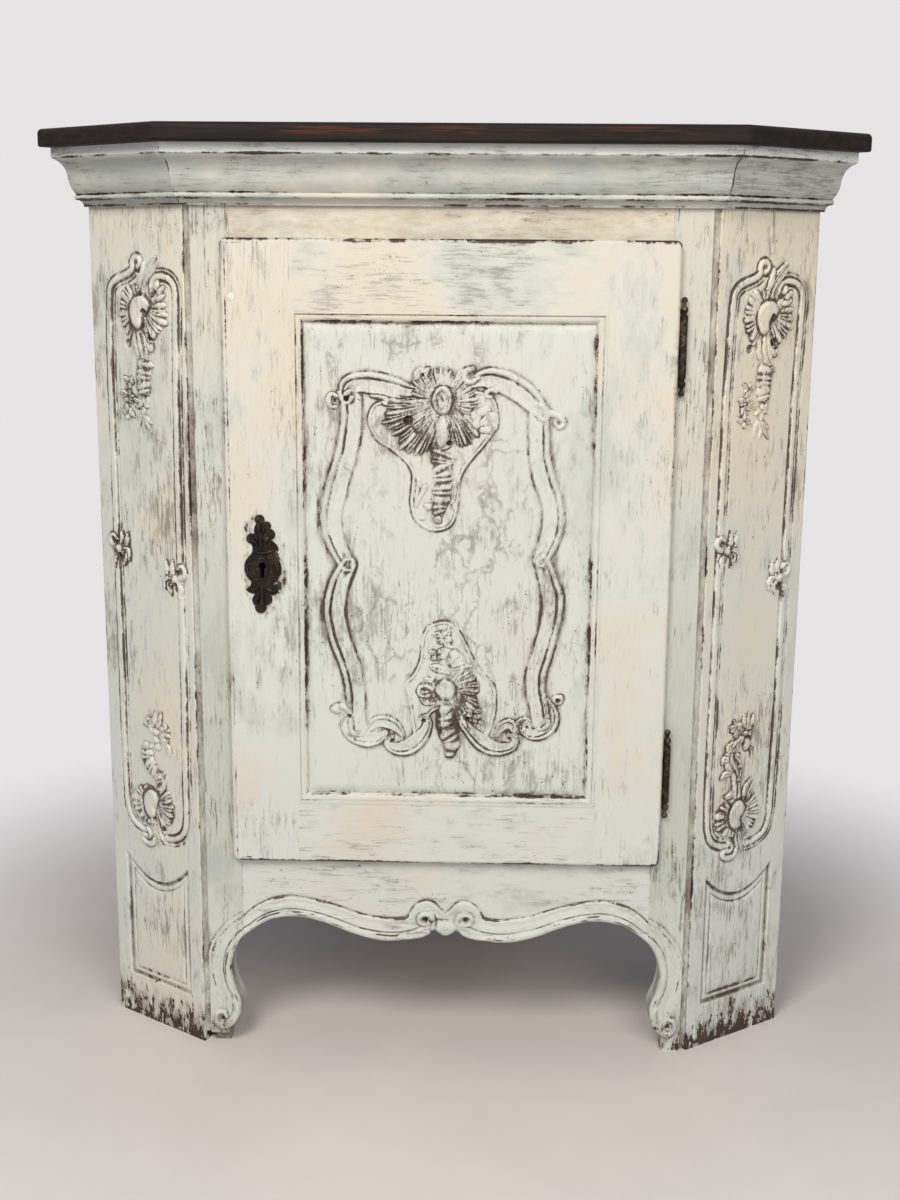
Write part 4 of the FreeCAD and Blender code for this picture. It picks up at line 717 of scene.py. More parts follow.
def blurred(field, cells):
    # three box blurs, close to a round one
    for axis in (0, 1):
        for i in range(3):
            padded = np.pad(field, [(cells + 1, cells) if k == axis else (0, 0) for k in (0, 1)], mode="edge")
            total = np.cumsum(padded, axis=axis)
            width = 2 * cells + 1
            upper = np.take(total, range(width, total.shape[axis]), axis=axis)
            lower = np.take(total, range(0, total.shape[axis] - width), axis=axis)
            field = (upper - lower) / width
    return field


def addObject(name, data):
    made = bpy.data.objects.new(name, data)
    bpy.context.scene.collection.objects.link(made)
    return made


def addPiece(name, mesh, material, body, slotName, *replaced):
    mesh.materials.append(material)
    piece = addObject(name, mesh)
    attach(piece, body)
    if replaced:
        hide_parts(*replaced)
    print(name, "made:", len(mesh.polygons), "faces")
    return piece


def gridSolid(name, front, back, marks, material, body, slotName, *replaced):
    # a board with a shaped front: rows and columns of points in millimetres, closed to a plain back
    rows, columns = front.shape[:2]
    index = np.arange(rows * columns).reshape(rows, columns)
    rim = np.concatenate([index[0, :-1], index[:-1, -1], index[-1, :0:-1], index[:0:-1, 0]])
    points = np.vstack([front.reshape(-1, 3), back.reshape(-1, 3)[rim]]) * mm
    quads = np.stack([index[:-1, :-1], index[:-1, 1:], index[1:, 1:], index[1:, :-1]], -1).reshape(-1, 4)
    behind = rows * columns + np.arange(rim.size)
    sides = np.stack([rim, behind, np.roll(behind, -1), np.roll(rim, -1)], -1)
    mesh = bpy.data.meshes.new(name)
    mesh.from_pydata(points.tolist(), [], quads.tolist() + sides.tolist() + [behind[::-1].tolist()])
    form = bmesh.new()
    form.from_mesh(mesh)
    bmesh.ops.recalc_face_normals(form, faces=form.faces)
    form.to_mesh(mesh)
    form.free()
    for key, values in marks.items():
        layer = mesh.attributes.new(key, "FLOAT", "POINT")
        values = np.concatenate([values.ravel(), np.zeros(rim.size)])
        layer.data.foreach_set("value", values.astype(np.float32))
    mesh.polygons.foreach_set("use_smooth", np.ones(len(mesh.polygons), bool))
    mesh.set_sharp_from_angle(angle=sharpAngle)
    return addPiece(name, mesh, material, body, slotName, *replaced)


def gridLines(*stretches):
    # grid lines from stretches of start, end and spacing
    parts = [np.linspace(a, b, max(2, int(round(abs(b - a) / s)) + 1)) for a, b, s in stretches]
    return np.unique(np.round(np.concatenate(parts), 4))


# door panel with its cartouche

doorPanel = {
    "half": 192.6, "low": 350.4, "high": 982.6,
    "marginY": -252.5, "backY": -240.5,
    "fieldRise": 3.0, "moulding": 13.0, "bevel": 8.0,
    "spacing": 1.25,
}


def carveCartouche(cut):
    bandHeight = 5.8
    # the two sides, roll outside and hollow inside, in an upper and a lower length with a kink between
    cut.stroke("-121 876, -121 852, -124 826, -130 800, -138 774, -144 748, -147 731, -146 711, -139 690, "
            "-128 668", [26, 27, 28, 28, 27, 20], bandHeight, rollAndHollow)
    cut.stroke("-126 668, -138 642, -144 610, -141 588, -134 561, -123 531, -118 501, -117 474, -115 452",
            [20, 27, 26, 26, 25, 24], bandHeight, rollAndHollow)
    cut.stroke("111 862, 112 829, 114 803, 120 779, 128 757, 132 738, 132 720, 127 700, 117 676",
            [26, 27, 28, 28, 27, 20], bandHeight, hollowAndRoll)
    cut.stroke("120 674, 128 647, 133 625, 131 596, 122 557, 114 528, 114 505, 118 484, 122 464",
            [20, 27, 26, 26, 25, 24], bandHeight, hollowAndRoll)
    # the top: a long scroll at the left and a C scroll at the right, each with curled ends
    cut.stroke("-129 879, -125 892, -109 897, -85 895, -62 889, -42 887", [14, 24, 27, 27, 24, 10],
            bandHeight, hollowAndRoll)
    cut.stroke("-119 879, -125 873, -132 876, -136 884", [5, 7, 7, 5], 5.0)
    cut.stroke("-96 881, -84 879, -77 876, -78 871, -82 873", [4, 5, 6, 5, 4], 3.8)
    cut.stroke("28 897, 45 903, 67 899, 89 887, 106 872, 117 859", [12, 26, 30, 30, 28, 14], bandHeight,
            hollowAndRoll)
    cut.stroke("58 886, 52 889, 47 886, 47 881, 52 880", [4, 6, 6, 5, 4], 4.0)
    cut.stroke("36 904, 26 898, 19 903, 20 911, 29 915", [5, 7, 8, 8, 6], 5.4)
    cut.stroke("121 866, 122 858, 116 853, 111 857", [7, 8, 7, 5], 5.0)
    cut.stroke("-139 880, -146 882, -150 875, -147 867, -140 867", [4, 5, 6, 5, 4], 2.6)
    cut.stroke("119 862, 130 860, 139 855, 142 847, 136 843, 132 848", [10, 9, 8, 7, 6, 4], 3.6)
    cut.hole((-127, 877), 3.4, 4.0)
    cut.hole((136, 849), 2.4, 3.4)
    cut.hole((-142, 875), (2.4, 2.6), 2.0)
    # the feet of the cartouche: balls, C scrolls and leaves
    cut.dome((-143, 477), 6, 4.4)
    cut.stroke("-141 482, -131 479, -125 471", [6, 8, 7], 4.2)
    cut.stroke("-122 468, -130 466, -133 457, -128 447, -117 440, -103 437, -90 439, -80 446",
            [5, 8, 12, 17, 20, 20, 16, 9], 5.2, rollAndHollow)
    cut.hole((-126, 469), 3.0, 4.5)
    cut.stroke("-102 449, -92 459, -80 461, -67 456, -57 444", [7, 14, 16, 14, 6], 3.8, hollowAndRoll)
    cut.stroke("-70 440, -77 437, -75 429, -64 425, -51 427, -39 435, -30 447, -25 459, -27 468, -34 467",
            [5, 8, 13, 18, 21, 21, 18, 13, 8, 5], 5.4, rollAndHollow)
    cut.hole((-70, 436), (2.8, 2.4), 4.0)
    cut.hole((-30, 464), 2.8, 4.0)
    cut.dome((143, 494), 7, 4.6)
    cut.hole((143, 493), 3.4, 4.5)
    cut.stroke("128 492, 135 480, 135 466, 128 454, 115 447, 104 449, 98 456, 103 462",
            [7, 12, 17, 20, 19, 14, 9, 5], 5.2, hollowAndRoll)
    cut.hole((105, 457), 2.6, 4.0)
    cut.stroke("64 445, 71 456, 81 460, 89 450", [6, 11, 13, 7], 3.6, hollowAndRoll)
    cut.stroke("88 452, 95 463, 104 464, 109 456", [5, 9, 10, 6], 3.6, hollowAndRoll)
    cut.stroke("80 446, 88 441, 85 431, 73 427, 59 428, 45 436, 31 450, 22 462, 23 472, 30 471",
            [5, 8, 13, 18, 21, 21, 18, 13, 8, 5], 5.4, hollowAndRoll)
    cut.hole((27, 468), 2.8, 4.0)
    cut.hole((81, 441), 2.4, 4.0)


def carveUpperShell(cut):
    ground = 1.5
    cut.plate("-80 876, -95 869, -101 852, -96 835, -87 822, -72 813, -57 801, -48 788, -46 773, -48 758, "
            "-48 745, -44 728, -33 716, -18 711, 0 715, 10 728, 13 746, 14 759, 15 774, 20 789, 31 804, "
            "44 819, 54 832, 61 847, 62 860, 58 875, 46 886, 10 890, -40 890", ground, 1.1)
    # long broad flutes to the left, then combed strands down both sides of a plain nose
    cut.fan((-8, 876), (178, 264), [70, 80, 88, 85, 82, 83, 83, 78, 66], 13, 19, 4.8, ground, 0.06)
    cut.fan((-8, 876), (282, 324), [60, 66, 72, 64], 16, 8, 4.2, ground, 0.10)
    cut.dome((-8, 836), (9, 20), 3.8, base=ground)
    # short feathers above and at the right
    cut.fan((-8, 878), (48, 134), [40, 38, 42, 38, 40], 17, 13, 4.4, 0.4, 0.15)
    cut.fan((-8, 878), (132, 182), [40, 46, 44], 16, 8, 3.8, 0.6, 0.25)
    cut.fan((-8, 876), (-36, 50), [42, 48, 44, 40], 15, 12, 4.0, 0.8, -0.20)
    for centre, size in (((34, 858), (8, 6)), ((44, 863), (9, 6)), ((53, 855), (7, 8)), ((37, 848), (8, 7)),
            ((47, 850), (8, 7)), ((54, 844), (6, 6)), ((46, 840), (8, 5))):
        cut.dome(centre, size, 1.5, base=ground, moat=0.3)
    cut.hole((-50, 851), 6.0, 6.0)
    cut.groove("-46 849, -44 842, -40 835", 4.0, 3.0, 1.2)
    cut.hole((1, 823), (3.6, 4.2), 6.0)
    cut.groove("-19 816, -11 813, -3 814, 3 818", 3.0, 2.2, 1.2)
    cut.ribs("-4 811, -7 803, -8 796", [36, 34, 30], 4.2, 3, ground - 0.6, 0.1)
    cut.ribs("-8 797, -7 776, -8 761, -11 745, -13 732", [24, 26, 29, 21, 12], 4.6, 8, ground - 0.6, 0.30)
    cut.dome((-13, 727), 5, 3.6, base=ground, moat=0.5)
    cut.stroke("-38 776, -36 766, -38 754, -40 744", [4, 9, 9, 4], 2.6, veined, ground, 1.0)
    cut.stroke("-26 770, -31 764, -34 756", [4, 7, 4], 2.6, veined, ground, 1.0)
    cut.leaf("10 778, 6 756, 4 740", 7, 2.2, ground)
    cut.dome((-25, 743), (5, 4.5), 2.8, base=ground, moat=0.5)
    cut.dome((-33, 728), (4, 3), 2.0, base=ground, moat=0.4)
    # the boss: an oval with a sunk, lumpy face
    cut.plate(ringOf((-8, 876), 13.5, 18.5), ground + 3.6, 0.9, 3.0)
    cut.groove("-13 884, -9 887, -4 884, -3 878 / -4 871, -6 866, -10 864 / -15 876, -14 870 / "
            "-9 880, -7 875", 3.2, 1.3, 0.75)
    cut.stain((-8, 876), (20, 26), 0.42)
    cut.leaf("-42 900, -36 911, -25 913", 10, 5.0)
    cut.leaf("-30 905, -27 913, -22 916", 7, 4.4)
    cut.hole((-33, 907), 2.6, 3.0)
    cut.leaf("9 900, 15 911, 20 915", 8, 4.6)
    cut.stain((-14, 856), (90, 66), 0.26)
    cut.stain((-12, 775), (44, 80), 0.26)


def carveLowerShell(cut):
    ground = 1.6
    cut.plate("-46 462, -48 477, -52 498, -55 512, -43 528, -36 544, -35 555, -32 576, -24 590, -8 596, "
            "5 594, 14 585, 23 572, 34 547, 47 529, 62 511, 64 486, 61 463, 52 441, 38 443, 27 456, 21 468, "
            "12 478, -2 480, -16 476, -25 464, -31 449, -42 441", ground, 1.0)
    cut.fan((-2, 505), (-8, 58), [46, 48, 48, 46, 44], 16, 8, 4.6, ground, 0.12)
    cut.fan((-2, 505), (-66, -10), [62, 58, 52, 48], 17, 7, 4.0, ground, 0.1, 0.35)
    cut.fan((-2, 505), (160, 232), [34, 38, 36, 30], 16, 7, 3.4, ground, 0.0, 0.3)
    cut.foliage((-4, 573), 13, 6, 2.8, ground)
    cut.foliage((-12, 552), 11, 5, 2.8, ground)
    cut.foliage((34, 474), 11, 5, 3.0, ground)
    cut.foliage((40, 461), 9, 4, 2.8, ground)
    cut.stroke("-19 506, -26 511, -34 509, -36 501, -30 496, -22 499", 5.0, 2.8, base=ground, foot=0.9)
    cut.leaf("-34 494, -25 488, -14 487", 9, 2.8, ground)
    cut.leaf("-30 520, -22 517, -15 519", 7, 2.4, ground)
    cut.leaf("-22 536, -8 532, 4 526", 11, 3.4, ground)
    cut.leaf("6 533, 20 538, 32 536", 9, 3.4, ground)
    cut.dome((11, 546), (10, 10.5), 2.2, base=ground, moat=0.9)
    cut.hole((14, 548), 1.6, 1.6)
    cut.plate(ringOf((-2, 505), 14.0, 14.0), ground + 2.4, 0.0, 2.2)
    cut.groove("-13 501, -9 495, -2 493, 5 496", 2.6, 0.9, 0.5)
    cut.stain((-2, 505), 22, 0.50)
    cut.stain((11, 546), 14, 0.35)
    cut.ribs("-2 484, -2 463, 2 448, 7 434, 3 415", [17, 22, 24, 21, 9], 5.2, 7, 0.8)
    cut.dome((4, 399), (22, 10), 0.5)
    cut.stain((2, 512), (70, 112), 0.32)


def makeDoorPanel():
    p = doorPanel
    s = p["spacing"]
    field = p["moulding"] + p["bevel"]
    half, low, high = p["half"], p["low"], p["high"]
    x = gridLines((-half, -half + field, 3.0), (-half + field, -157, 4.0), (-157, -104, 1.3 * s),
                  (-104, 66, s), (66, 157, 1.3 * s), (157, half - field, 4.0), (half - field, half, 3.0))
    z = gridLines((low, low + field, 3.0), (low + field, 396, 5.0), (396, 600, 1.15 * s), (600, 705, 2.2 * s),
                  (705, 920, s), (920, high - field, 5.0), (high - field, high, 3.0))
    gridX, gridZ = np.meshgrid(x, z)
    cut = Relief(gridX, gridZ, 0.45)
    carveUpperShell(cut)
    carveLowerShell(cut)
    carveCartouche(cut)
    height = cut.grid()
    inset = np.minimum(np.minimum(gridX + half, half - gridX), np.minimum(gridZ - low, high - gridZ))
    bevel = np.clip((inset - p["moulding"]) / p["bevel"], 0, 1) * p["fieldRise"]
    ripple = 0.12 * np.sin(gridX / 17.0 + 1.3 * np.sin(gridZ / 90.0))
    ripple = ripple + 0.10 * np.sin(gridZ / 41.0 + gridX / 60.0)
    front = np.stack([gridX, p["marginY"] - bevel - height - ripple * (bevel > 1), gridZ], -1)
    back = np.stack([gridX, np.full_like(gridX, p["backY"]), gridZ], -1)
    marks = cut.marks(height + bevel)
    groove = np.clip(1 - np.abs(inset - p["moulding"] - 0.5) / 3.0, 0, 1) * 0.75
    marks["edge"] = np.maximum(marks["edge"], groove)
    gridSolid("door_panel_carved", front, back, marks, finish["panel"], "door", "painted_wood", "door_panel")


makeDoorPanel()


# canted sides with their tall frames, shells and sprigs

cantedSide = {
    "frameHalf": 59.0,        # middle of the frame's ridge, from the ornament's own middle line
    "middle": {"right": 80.0, "left": 89.0},
    "ridge": 9.0,
    "clasps": {"right": ((-49, 686), (50, 642)), "left": ((-53, 670), (53, 641))},
    "footPanel": {"inset": 25.0, "low": 60.0, "high": 242.0, "dip": 31.0, "border": 11.0, "depth": 4.0},
    "spacing": 1.15,
}


def carveFrame(cut):
    w = cantedSide["frameHalf"]
    ridge = cantedSide["ridge"]
    left = [(-1, 1034), (3, 1039), (0, 1045), (-7, 1045), (-11, 1039), (-11, 1032), (-17, 1027),
            (-28, 1023), (-42, 1018), (-52, 1009), (-55, 996), (-w + 2, 960), (-w, 880), (-w, 700), (-w, 500),
            (-w - 1, 400), (-w, 330), (-56, 306), (-47, 291), (-32, 283), (-18, 281)]
    right = [(22, 1003), (23, 1014), (30, 1021), (45, 1022), (59, 1016), (65, 1001), (64, 970), (61, 880),
             (w, 700), (w, 500), (w - 2, 400), (w - 3, 330), (54, 304), (46, 289), (32, 281), (16, 278)]
    for path in (left, right):
        cut.stroke(path, [4.5] + [ridge] * 8 + [ridge - 2, 6], 2.1, flatBand)
        near, gap, along = cut.beside(smoothPath(path), 14)
        for reach, depth in ((ridge / 2 + 1.0, 1.5), (-ridge / 2 - 1.0, 1.5), (ridge / 2 + 5.8, 0.7)):
            cut.h[near] -= depth * np.clip(1 - ((gap - reach) / 1.8) ** 2, 0, 1)
            cut.rule(near, gap - reach, 2.5, 0.62 + 0.34 * depth)


def carveUpperSprig(cut):
    # leaves over the shell
    cut.leaf("34 1047, 18 1031, 6 1016, 1 1004", 8, 4.2)
    cut.leaf("37 1041, 24 1028, 12 1013, 9 1002", 7, 4.0)
    cut.leaf("12 1041, 8 1026, -2 1008", 7, 4.0)
    # a shell round a kidney boss: a scalloped rim, flutes at the lower right, lobes at the upper right
    cut.fan((0, 980), (84, 276), [32, 38, 40, 38, 37, 40, 44, 40], 8, 14, 3.8, 0.2, 0.0, 0.55)
    cut.fan((8, 984), (-86, 8), [46, 48, 46, 42, 36], 10, 8, 4.6, 0.3, -0.15)
    for centre, size, turn in (((37, 996), (9, 4), 20), ((39, 987), (9, 4), 5), ((39, 1005), (8, 4), 40),
            ((33, 1011), (7, 4), 65), ((42, 977), (8, 4), -10), ((43, 967), (8, 4), -25)):
        cut.dome(centre, size, 3.6, turn, moat=0.5)
    cut.plate("24 987, 16 997, 1 1000, -12 993, -17 978, -12 962, -2 956, 7 962, 8 973, 16 977",
            5.4, 0.0, 6.0, 2.4)
    cut.hole((26, 1004), (6, 5), 3.0)
    cut.hole((11, 979), 4, 3.0)
    cut.hole((-23, 939), (5.5, 6.0), 4.0)
    cut.leaf("-8 954, -9 936, -2 920 / -1 956, 1 936, 4 920 / 5 954, 10 936, 14 922 / "
            "14 940, 20 932, 24 942", 7, 4.2)
    cut.hole((17, 948), (5.0, 6.0), 5.0)
    cut.ribs("8 917, 4 902, 3 888, 4 874", [30, 26, 25, 21], 4.4, 5)
    cut.dome((17, 913), (5, 4), 3.0, moat=0.5)
    cut.foliage((-22, 890), 10, 5, 3.2)
    cut.foliage((-25, 871), 13, 6, 3.6)
    cut.foliage((-27, 850), 11, 5, 3.4)
    cut.leaf("-16 870, -8 866, 2 862", 6, 3.0)
    cut.foliage((3, 862), 11, 5, 3.8)
    cut.leaf("-3 850, -7 840, -10 828 / -2 848, 2 838, 0 826 / 0 848, 9 836, 17 825 / "
            "2 848, 10 843, 17 838", 6, 3.0)
    cut.stain((0, 960), (60, 70), 0.22)
    cut.stain((-6, 880), (46, 60), 0.26)


def carveLowerShellOfSide(cut):
    cut.fan((-10, 322), (80, 275), [28, 30, 34, 38, 36, 32, 30], 8, 10, 4.4, 0.2, 0.0, 0.50)
    cut.fan((-2, 326), (-80, 40), [34, 40, 42, 40, 38, 34], 10, 10, 4.6, 0.3, -0.15)
    cut.plate("9 333, 2 343, -10 346, -21 337, -24 322, -18 307, -8 302, 1 308, 0 319, 5 325",
            5.4, 0.0, 6.0, 2.4)
    cut.leaf("3 346, 8 360, 18 372", 8, 4.2)
    cut.leaf("10 341, 16 354, 22 366", 7, 3.8)
    # base: a curl and leaf strands
    cut.stroke("-19 286, -13 280, -17 274, -26 276, -29 270, -20 264, -9 266, -5 274",
            [5, 7, 7, 7, 8, 8, 8, 6], 3.8)
    cut.hole((-18, 279), 2.4, 3.0)
    cut.leaf("-8 304, -5 288, -1 270 / 1 300, 6 284, 15 271 / -3 302, 1 286, 6 268", 7, 3.8)
    cut.hole((13, 291), (5, 4), 2.6)
    cut.stain((-4, 316), (56, 60), 0.22)
    cut.stain((-6, 410), (46, 70), 0.26)


def carveRightSprig(cut):
    # a jagged leafy stem with flowers at its top
    cut.stroke("-9 350, -10 367, -14 383, -24 398, -25 412, -15 422, -4 430", [17, 15, 14, 17, 15, 12, 9],
            4.2, veined)
    cut.leaf("-16 358, -24 352, -32 354 / -12 372, -4 378, -3 388 / -20 386, -32 384, -40 378 / "
            "-26 402, -34 406, -38 398 / -16 408, -8 404, -6 394 / -22 414, -28 420, -22 428", 9, 4.0)
    cut.foliage((-15, 446), 12, 6, 4.2)
    cut.foliage((8, 439), 11, 5, 4.2)
    cut.dome((6, 421), (7, 9), 3.8, moat=0.6)
    cut.leaf("0 444, -1 454, -2 464 / 5 446, 7 456, 6 464 / 10 446, 15 454, 15 462 / "
            "9 414, 16 410, 15 400", 6, 3.4)


def carveLeftSprig(cut):
    # a twisted stem with beads and flowers at its top
    cut.ribs("6 346, 10 356, 4 367, -6 376, -14 386, -14 396, -12 408",
            [12, 15, 19, 22, 23, 22, 16], 5.4, 9)
    cut.dome((3, 426), 6, 4.0, moat=0.6)
    cut.dome((3, 415), 6, 4.0, moat=0.6)
    cut.dome((6, 406), 5, 3.6, moat=0.6)
    cut.foliage((-7, 438), 12, 6, 4.0)
    cut.foliage((21, 430), 11, 5, 4.0)
    cut.leaf("8 432, 12 444, 16 456 / 4 436, 4 448, 8 460 / 20 414, 28 408, 30 398 / "
            "14 420, 22 416, 28 420", 8, 3.8)


def carveClasps(cut, places):
    # curled claws round a dark hollow, mirrored from side to side
    for flip, (mid, rise) in zip((1, -1), places):
        def put(points):
            return spots(points) * (flip, 1) + (mid, rise)

        cut.stroke(put("2 0, -8 2, -15 7, -15 15, -8 18, -3 12"), [9, 9, 7, 6, 5, 5], 4.6, foot=1.3)
        for path in ("2 2, 7 11, 6 25", "7 2, 15 10, 17 23", "5 -1, 17 -1, 20 -15", "3 -4, 13 -8, 9 -22",
                     "-3 -4, -8 -12, -7 -26"):
            cut.leaf(put(path), 8, 5.0, 0.0, 1.6)
        cut.dome(put("1 0")[0], 6, 5.8, moat=0.6)
        sizes = ((4.5, 6.0), (4.5, 3.5), (2.0, 5.0), (2.0, 4.0))
        for spot, size in zip(put("1 -12, -6 10, 11 8, 12 -7"), sizes):
            cut.hole(spot, size, 2.6)
        cut.stain((mid, rise), (24, 30), 0.30)


def footPanelDepth(s, z):
    # how far a point of the small foot panel lies behind the face
    p = cantedSide["footPanel"]
    width = cabinet["cantWidth"]
    half = width / 2 - p["inset"]
    off = (s - width / 2) / half
    high = p["high"] - p["dip"] * (1 - off**2)
    inset = np.minimum(np.minimum(half - np.abs(s - width / 2), z - p["low"]), (high - z) * 0.86)
    places = [-0.6, 0.0, 0.6, 4.0, 7.0, 9.5, p["border"], p["border"] + 3.0]
    return np.interp(inset, places, [0, 1.6, p["depth"], p["depth"], 2.4, 2.2, 3.6, 1.5]), inset


def makeSide(side):
    p = cantedSide
    spread = 1 if side == "right" else -1
    width, depth = cabinet["cantWidth"], cabinet["boardDepth"]
    turn = cabinet["cantAngle"]
    f = p["spacing"]
    z = gridLines((0, 48, 3.0), (48, 72, 1.6), (72, 196, 6.0), (196, 250, 1.6), (250, 472, f),
                  (472, 610, 5.0), (610, 716, 1.5), (716, 818, 5.0), (818, 1056, f),
                  (1056, cabinet["carcassTop"], 10.0))
    s = gridLines((0, 3, 1.0), (3, width - 3, f), (width - 3, width, 1.0))
    gridS, gridZ = np.meshgrid(s, z)
    viewed = gridS if side == "right" else width - gridS
    cut = Relief(viewed - p["middle"][side], gridZ, 0.3)
    carveFrame(cut)
    carveClasps(cut, p["clasps"][side])
    carveUpperSprig(cut)
    (carveRightSprig if side == "right" else carveLeftSprig)(cut)
    carveLowerShellOfSide(cut)
    height = cut.grid()
    sunk, inset = footPanelDepth(gridS, gridZ)
    height = np.where(inset > -0.6, -sunk, height)
    edgeGap = np.minimum(gridS, width - gridS)
    rounded = 0.9 * np.clip(1 - edgeGap / 1.6, 0, 1) ** 2
    ripple = 0.14 * np.sin(gridS / 13.0 + gridZ / 160.0) + 0.12 * np.sin(gridZ / 70.0)
    out = height - rounded + ripple * np.clip(edgeGap / 8, 0, 1)
    alongX, alongY = math.cos(turn), math.sin(turn)
    x = cabinet["halfFront"] + gridS * alongX + out * alongY
    y = cabinet["frontY"] + gridS * alongY - out * alongX
    front = np.stack([spread * x, y, gridZ], -1)
    # the back is narrower at the front corner's mitre and runs square to the wall behind
    nearS = depth * math.tan(turn / 2)
    farS = width - depth * math.tan(math.pi / 4 - turn)
    backS = nearS + gridS / width * (farS - nearS)
    backX = cabinet["halfFront"] + backS * alongX - depth * alongY
    backY = cabinet["frontY"] + backS * alongY + depth * alongX
    back = np.stack([spread * backX, backY, gridZ], -1)
    marks = cut.marks(height)
    rim = np.clip(1 - edgeGap / 6.0, 0, 1)
    panelRim = np.clip(1 - np.abs(inset) / 3.0, 0, 1) * 0.8
    marks["edge"] = np.maximum(marks["edge"], np.maximum(rim * 0.95, panelRim))
    gridSolid(side + "_pilaster_carved", front, back, marks, finish["side"], "carcass", "painted_wood",
              side + "_pilaster")


makeSide("right")
makeSide("left")


# scalloped apron with its carved band and the scrolled feet

apron = {
    "top": 278.0,
    "edge": "0 162, 6 163.3, 11 166.6, 14 169.5, 17 167, 24 161.5, 34 158.5, 60 153.5, 86 153, 118 160, "
            "150 173, 180 182.5, 207 185, 235 179.5, 255 168, 270.5 155",
    "bandTop": "0 194, 7 200, 16 209, 28 211, 40 205, 47 195, 53 187, 72 184.5, 88 186, 113 190.5, 155 205, "
               "197 214, 222 213, 242 206, 258 196, 270.5 184",
}
foot = {
    "edge": "270.5 155, 281 138, 287.5 113, 284 88, 275.5 64, 277 44, 285 30, 292.5 20, 293 0",
    "bandTop": "270.5 184, 284 176, 296 164, 307 149, 313 134, 314 118",
    "quirkStart": 318.0, "quirkEnd": 325.74, "quirkDepth": 4.0,
    "wornFrom": 14.0,
    "shapedBelow": 155.0, "toeBelow": 134.0, "bandBelow": 190.0, "toeBand": 27.0,
    "keeperBed": {"depth": 2.0, "y": (-238.185, -218.25), "z": (673.0, 705.0)},
    "boltRoom": {"depth": 13.2, "y": (-230.385, -220.985), "z": (680.8, 697.2)},
}


def bandProfile(share):
    # across the band from its lower edge to its top line: roll, quirk, hollow, then the sunk line
    places = [0.0, 0.03, 0.10, 0.20, 0.30, 0.38, 0.42, 0.46, 0.60, 0.78, 0.90, 0.95, 0.99, 1.04, 1.10]
    rises = [1.0, 3.6, 5.6, 6.6, 6.0, 4.3, 2.4, 4.0, 3.2, 2.2, 2.7, 2.4, -0.9, -0.7, 0.0]
    return np.interp(share, places, rises)


def carveBand(relief, edgePath, topPath):
    below, gapBelow, way = relief.beside(edgePath, 80)
    above, gapAbove, up = relief.beside(topPath, 80)
    far = np.full(relief.a.size, 1e3)
    top = np.full(relief.a.size, 1e3)
    run = np.zeros(relief.a.size)
    far[below] = np.abs(gapBelow)
    top[above] = gapAbove
    run[below] = way * np.hypot(*np.diff(edgePath, axis=0).T).sum()
    return far, top, run


def bandDashes(share, run):
    # broken dark lines along the band, where the paint is rubbed through
    wax = np.zeros(share.size)
    for spot, seed in ((0.06, 1.0), (0.18, 2.7), (0.31, 5.2), (0.42, 0.4), (0.97, 3.9)):
        broken = np.sin(run / 22.0 + seed) + 0.8 * np.sin(run / 9.3 + 2 * seed)
        broken = broken + 0.5 * np.sin(run / 3.7 + seed) - 0.10
        line = np.clip(1.3 - np.abs(share - spot) / 0.035, 0, 1)
        wax = np.maximum(wax, line * np.clip(1.4 * broken, 0, 1.7))
    return wax


def makeApron():
    p = apron
    depth = cabinet["boardDepth"]
    half = cabinet["halfOpening"]
    x = gridLines((-half, -60, 2.0), (-60, 60, 1.1), (60, half, 2.0))
    halves = [spots(p[key]) for key in ("edge", "bandTop")]
    edgePath, topPath = (smoothPath(np.vstack([line[:0:-1] * (-1, 1), line]), 1.2) for line in halves)
    lower = np.interp(x, edgePath[:, 0], edgePath[:, 1])
    share = np.concatenate([np.linspace(0, 0.62, 62), np.linspace(0.64, 1, 12)])
    gridX = np.repeat(x[None, :], share.size, 0)
    gridZ = lower[None, :] + share[:, None] ** 1.15 * (p["top"] - lower[None, :])
    cut = Relief(gridX, gridZ)
    far, top, run = carveBand(cut, edgePath, topPath)
    # the top line runs left to right, so points above it lie to its left
    across = far / np.maximum(far - top, 0.5)
    cut.h = np.where(top < 6, bandProfile(across), 0.0)
    cut.dark = np.where((top < 0) & (np.abs(cut.a) > 48), bandDashes(across, run), 0.0)
    for side in (-1, 1):
        # volutes: the roll curls up round an eye beside the middle lobe
        hook = spots("62 161, 46 160, 32 163, 21 170, 15.5 180, 19 190, 28 193, 35 188, 34 180, 27 178")
        cut.stroke(hook * (side, 1), [7, 10, 11, 10, 9, 8, 8, 7, 6, 5], 7.4)
        cut.hole((side * 27, 185), (4.2, 4.0), 6.0)
    cut.dome((0, 173), (18.5, 12), 8.0, moat=0.6)
    height = cut.grid()
    # the lower edge is rounded over
    arris = np.clip(1 - (gridZ - lower[None, :]) / 4.0, 0, 1) ** 2 * 2.0
    ripple = 0.15 * np.sin(gridX / 31.0 + gridZ / 9.0) * (height == 0)
    front = np.stack([gridX, cabinet["frontY"] - height + arris + ripple, gridZ], -1)
    back = np.stack([gridX, np.full_like(gridX, cabinet["frontY"] + depth), gridZ], -1)
    marks = cut.marks(height)
    sunk = np.clip(1 - np.abs(top.reshape(height.shape) - 0.4) / 1.5, 0, 1)
    marks["dark"] = np.maximum(marks["dark"], sunk * 1.2)
    marks["edge"] = np.maximum(marks["edge"], np.clip(1 - far.reshape(height.shape) / 8.0, 0, 1))
    gridSolid("apron_rail_carved", front, back, marks, finish["apron"], "carcass", "painted_wood",
              "apron_rail")


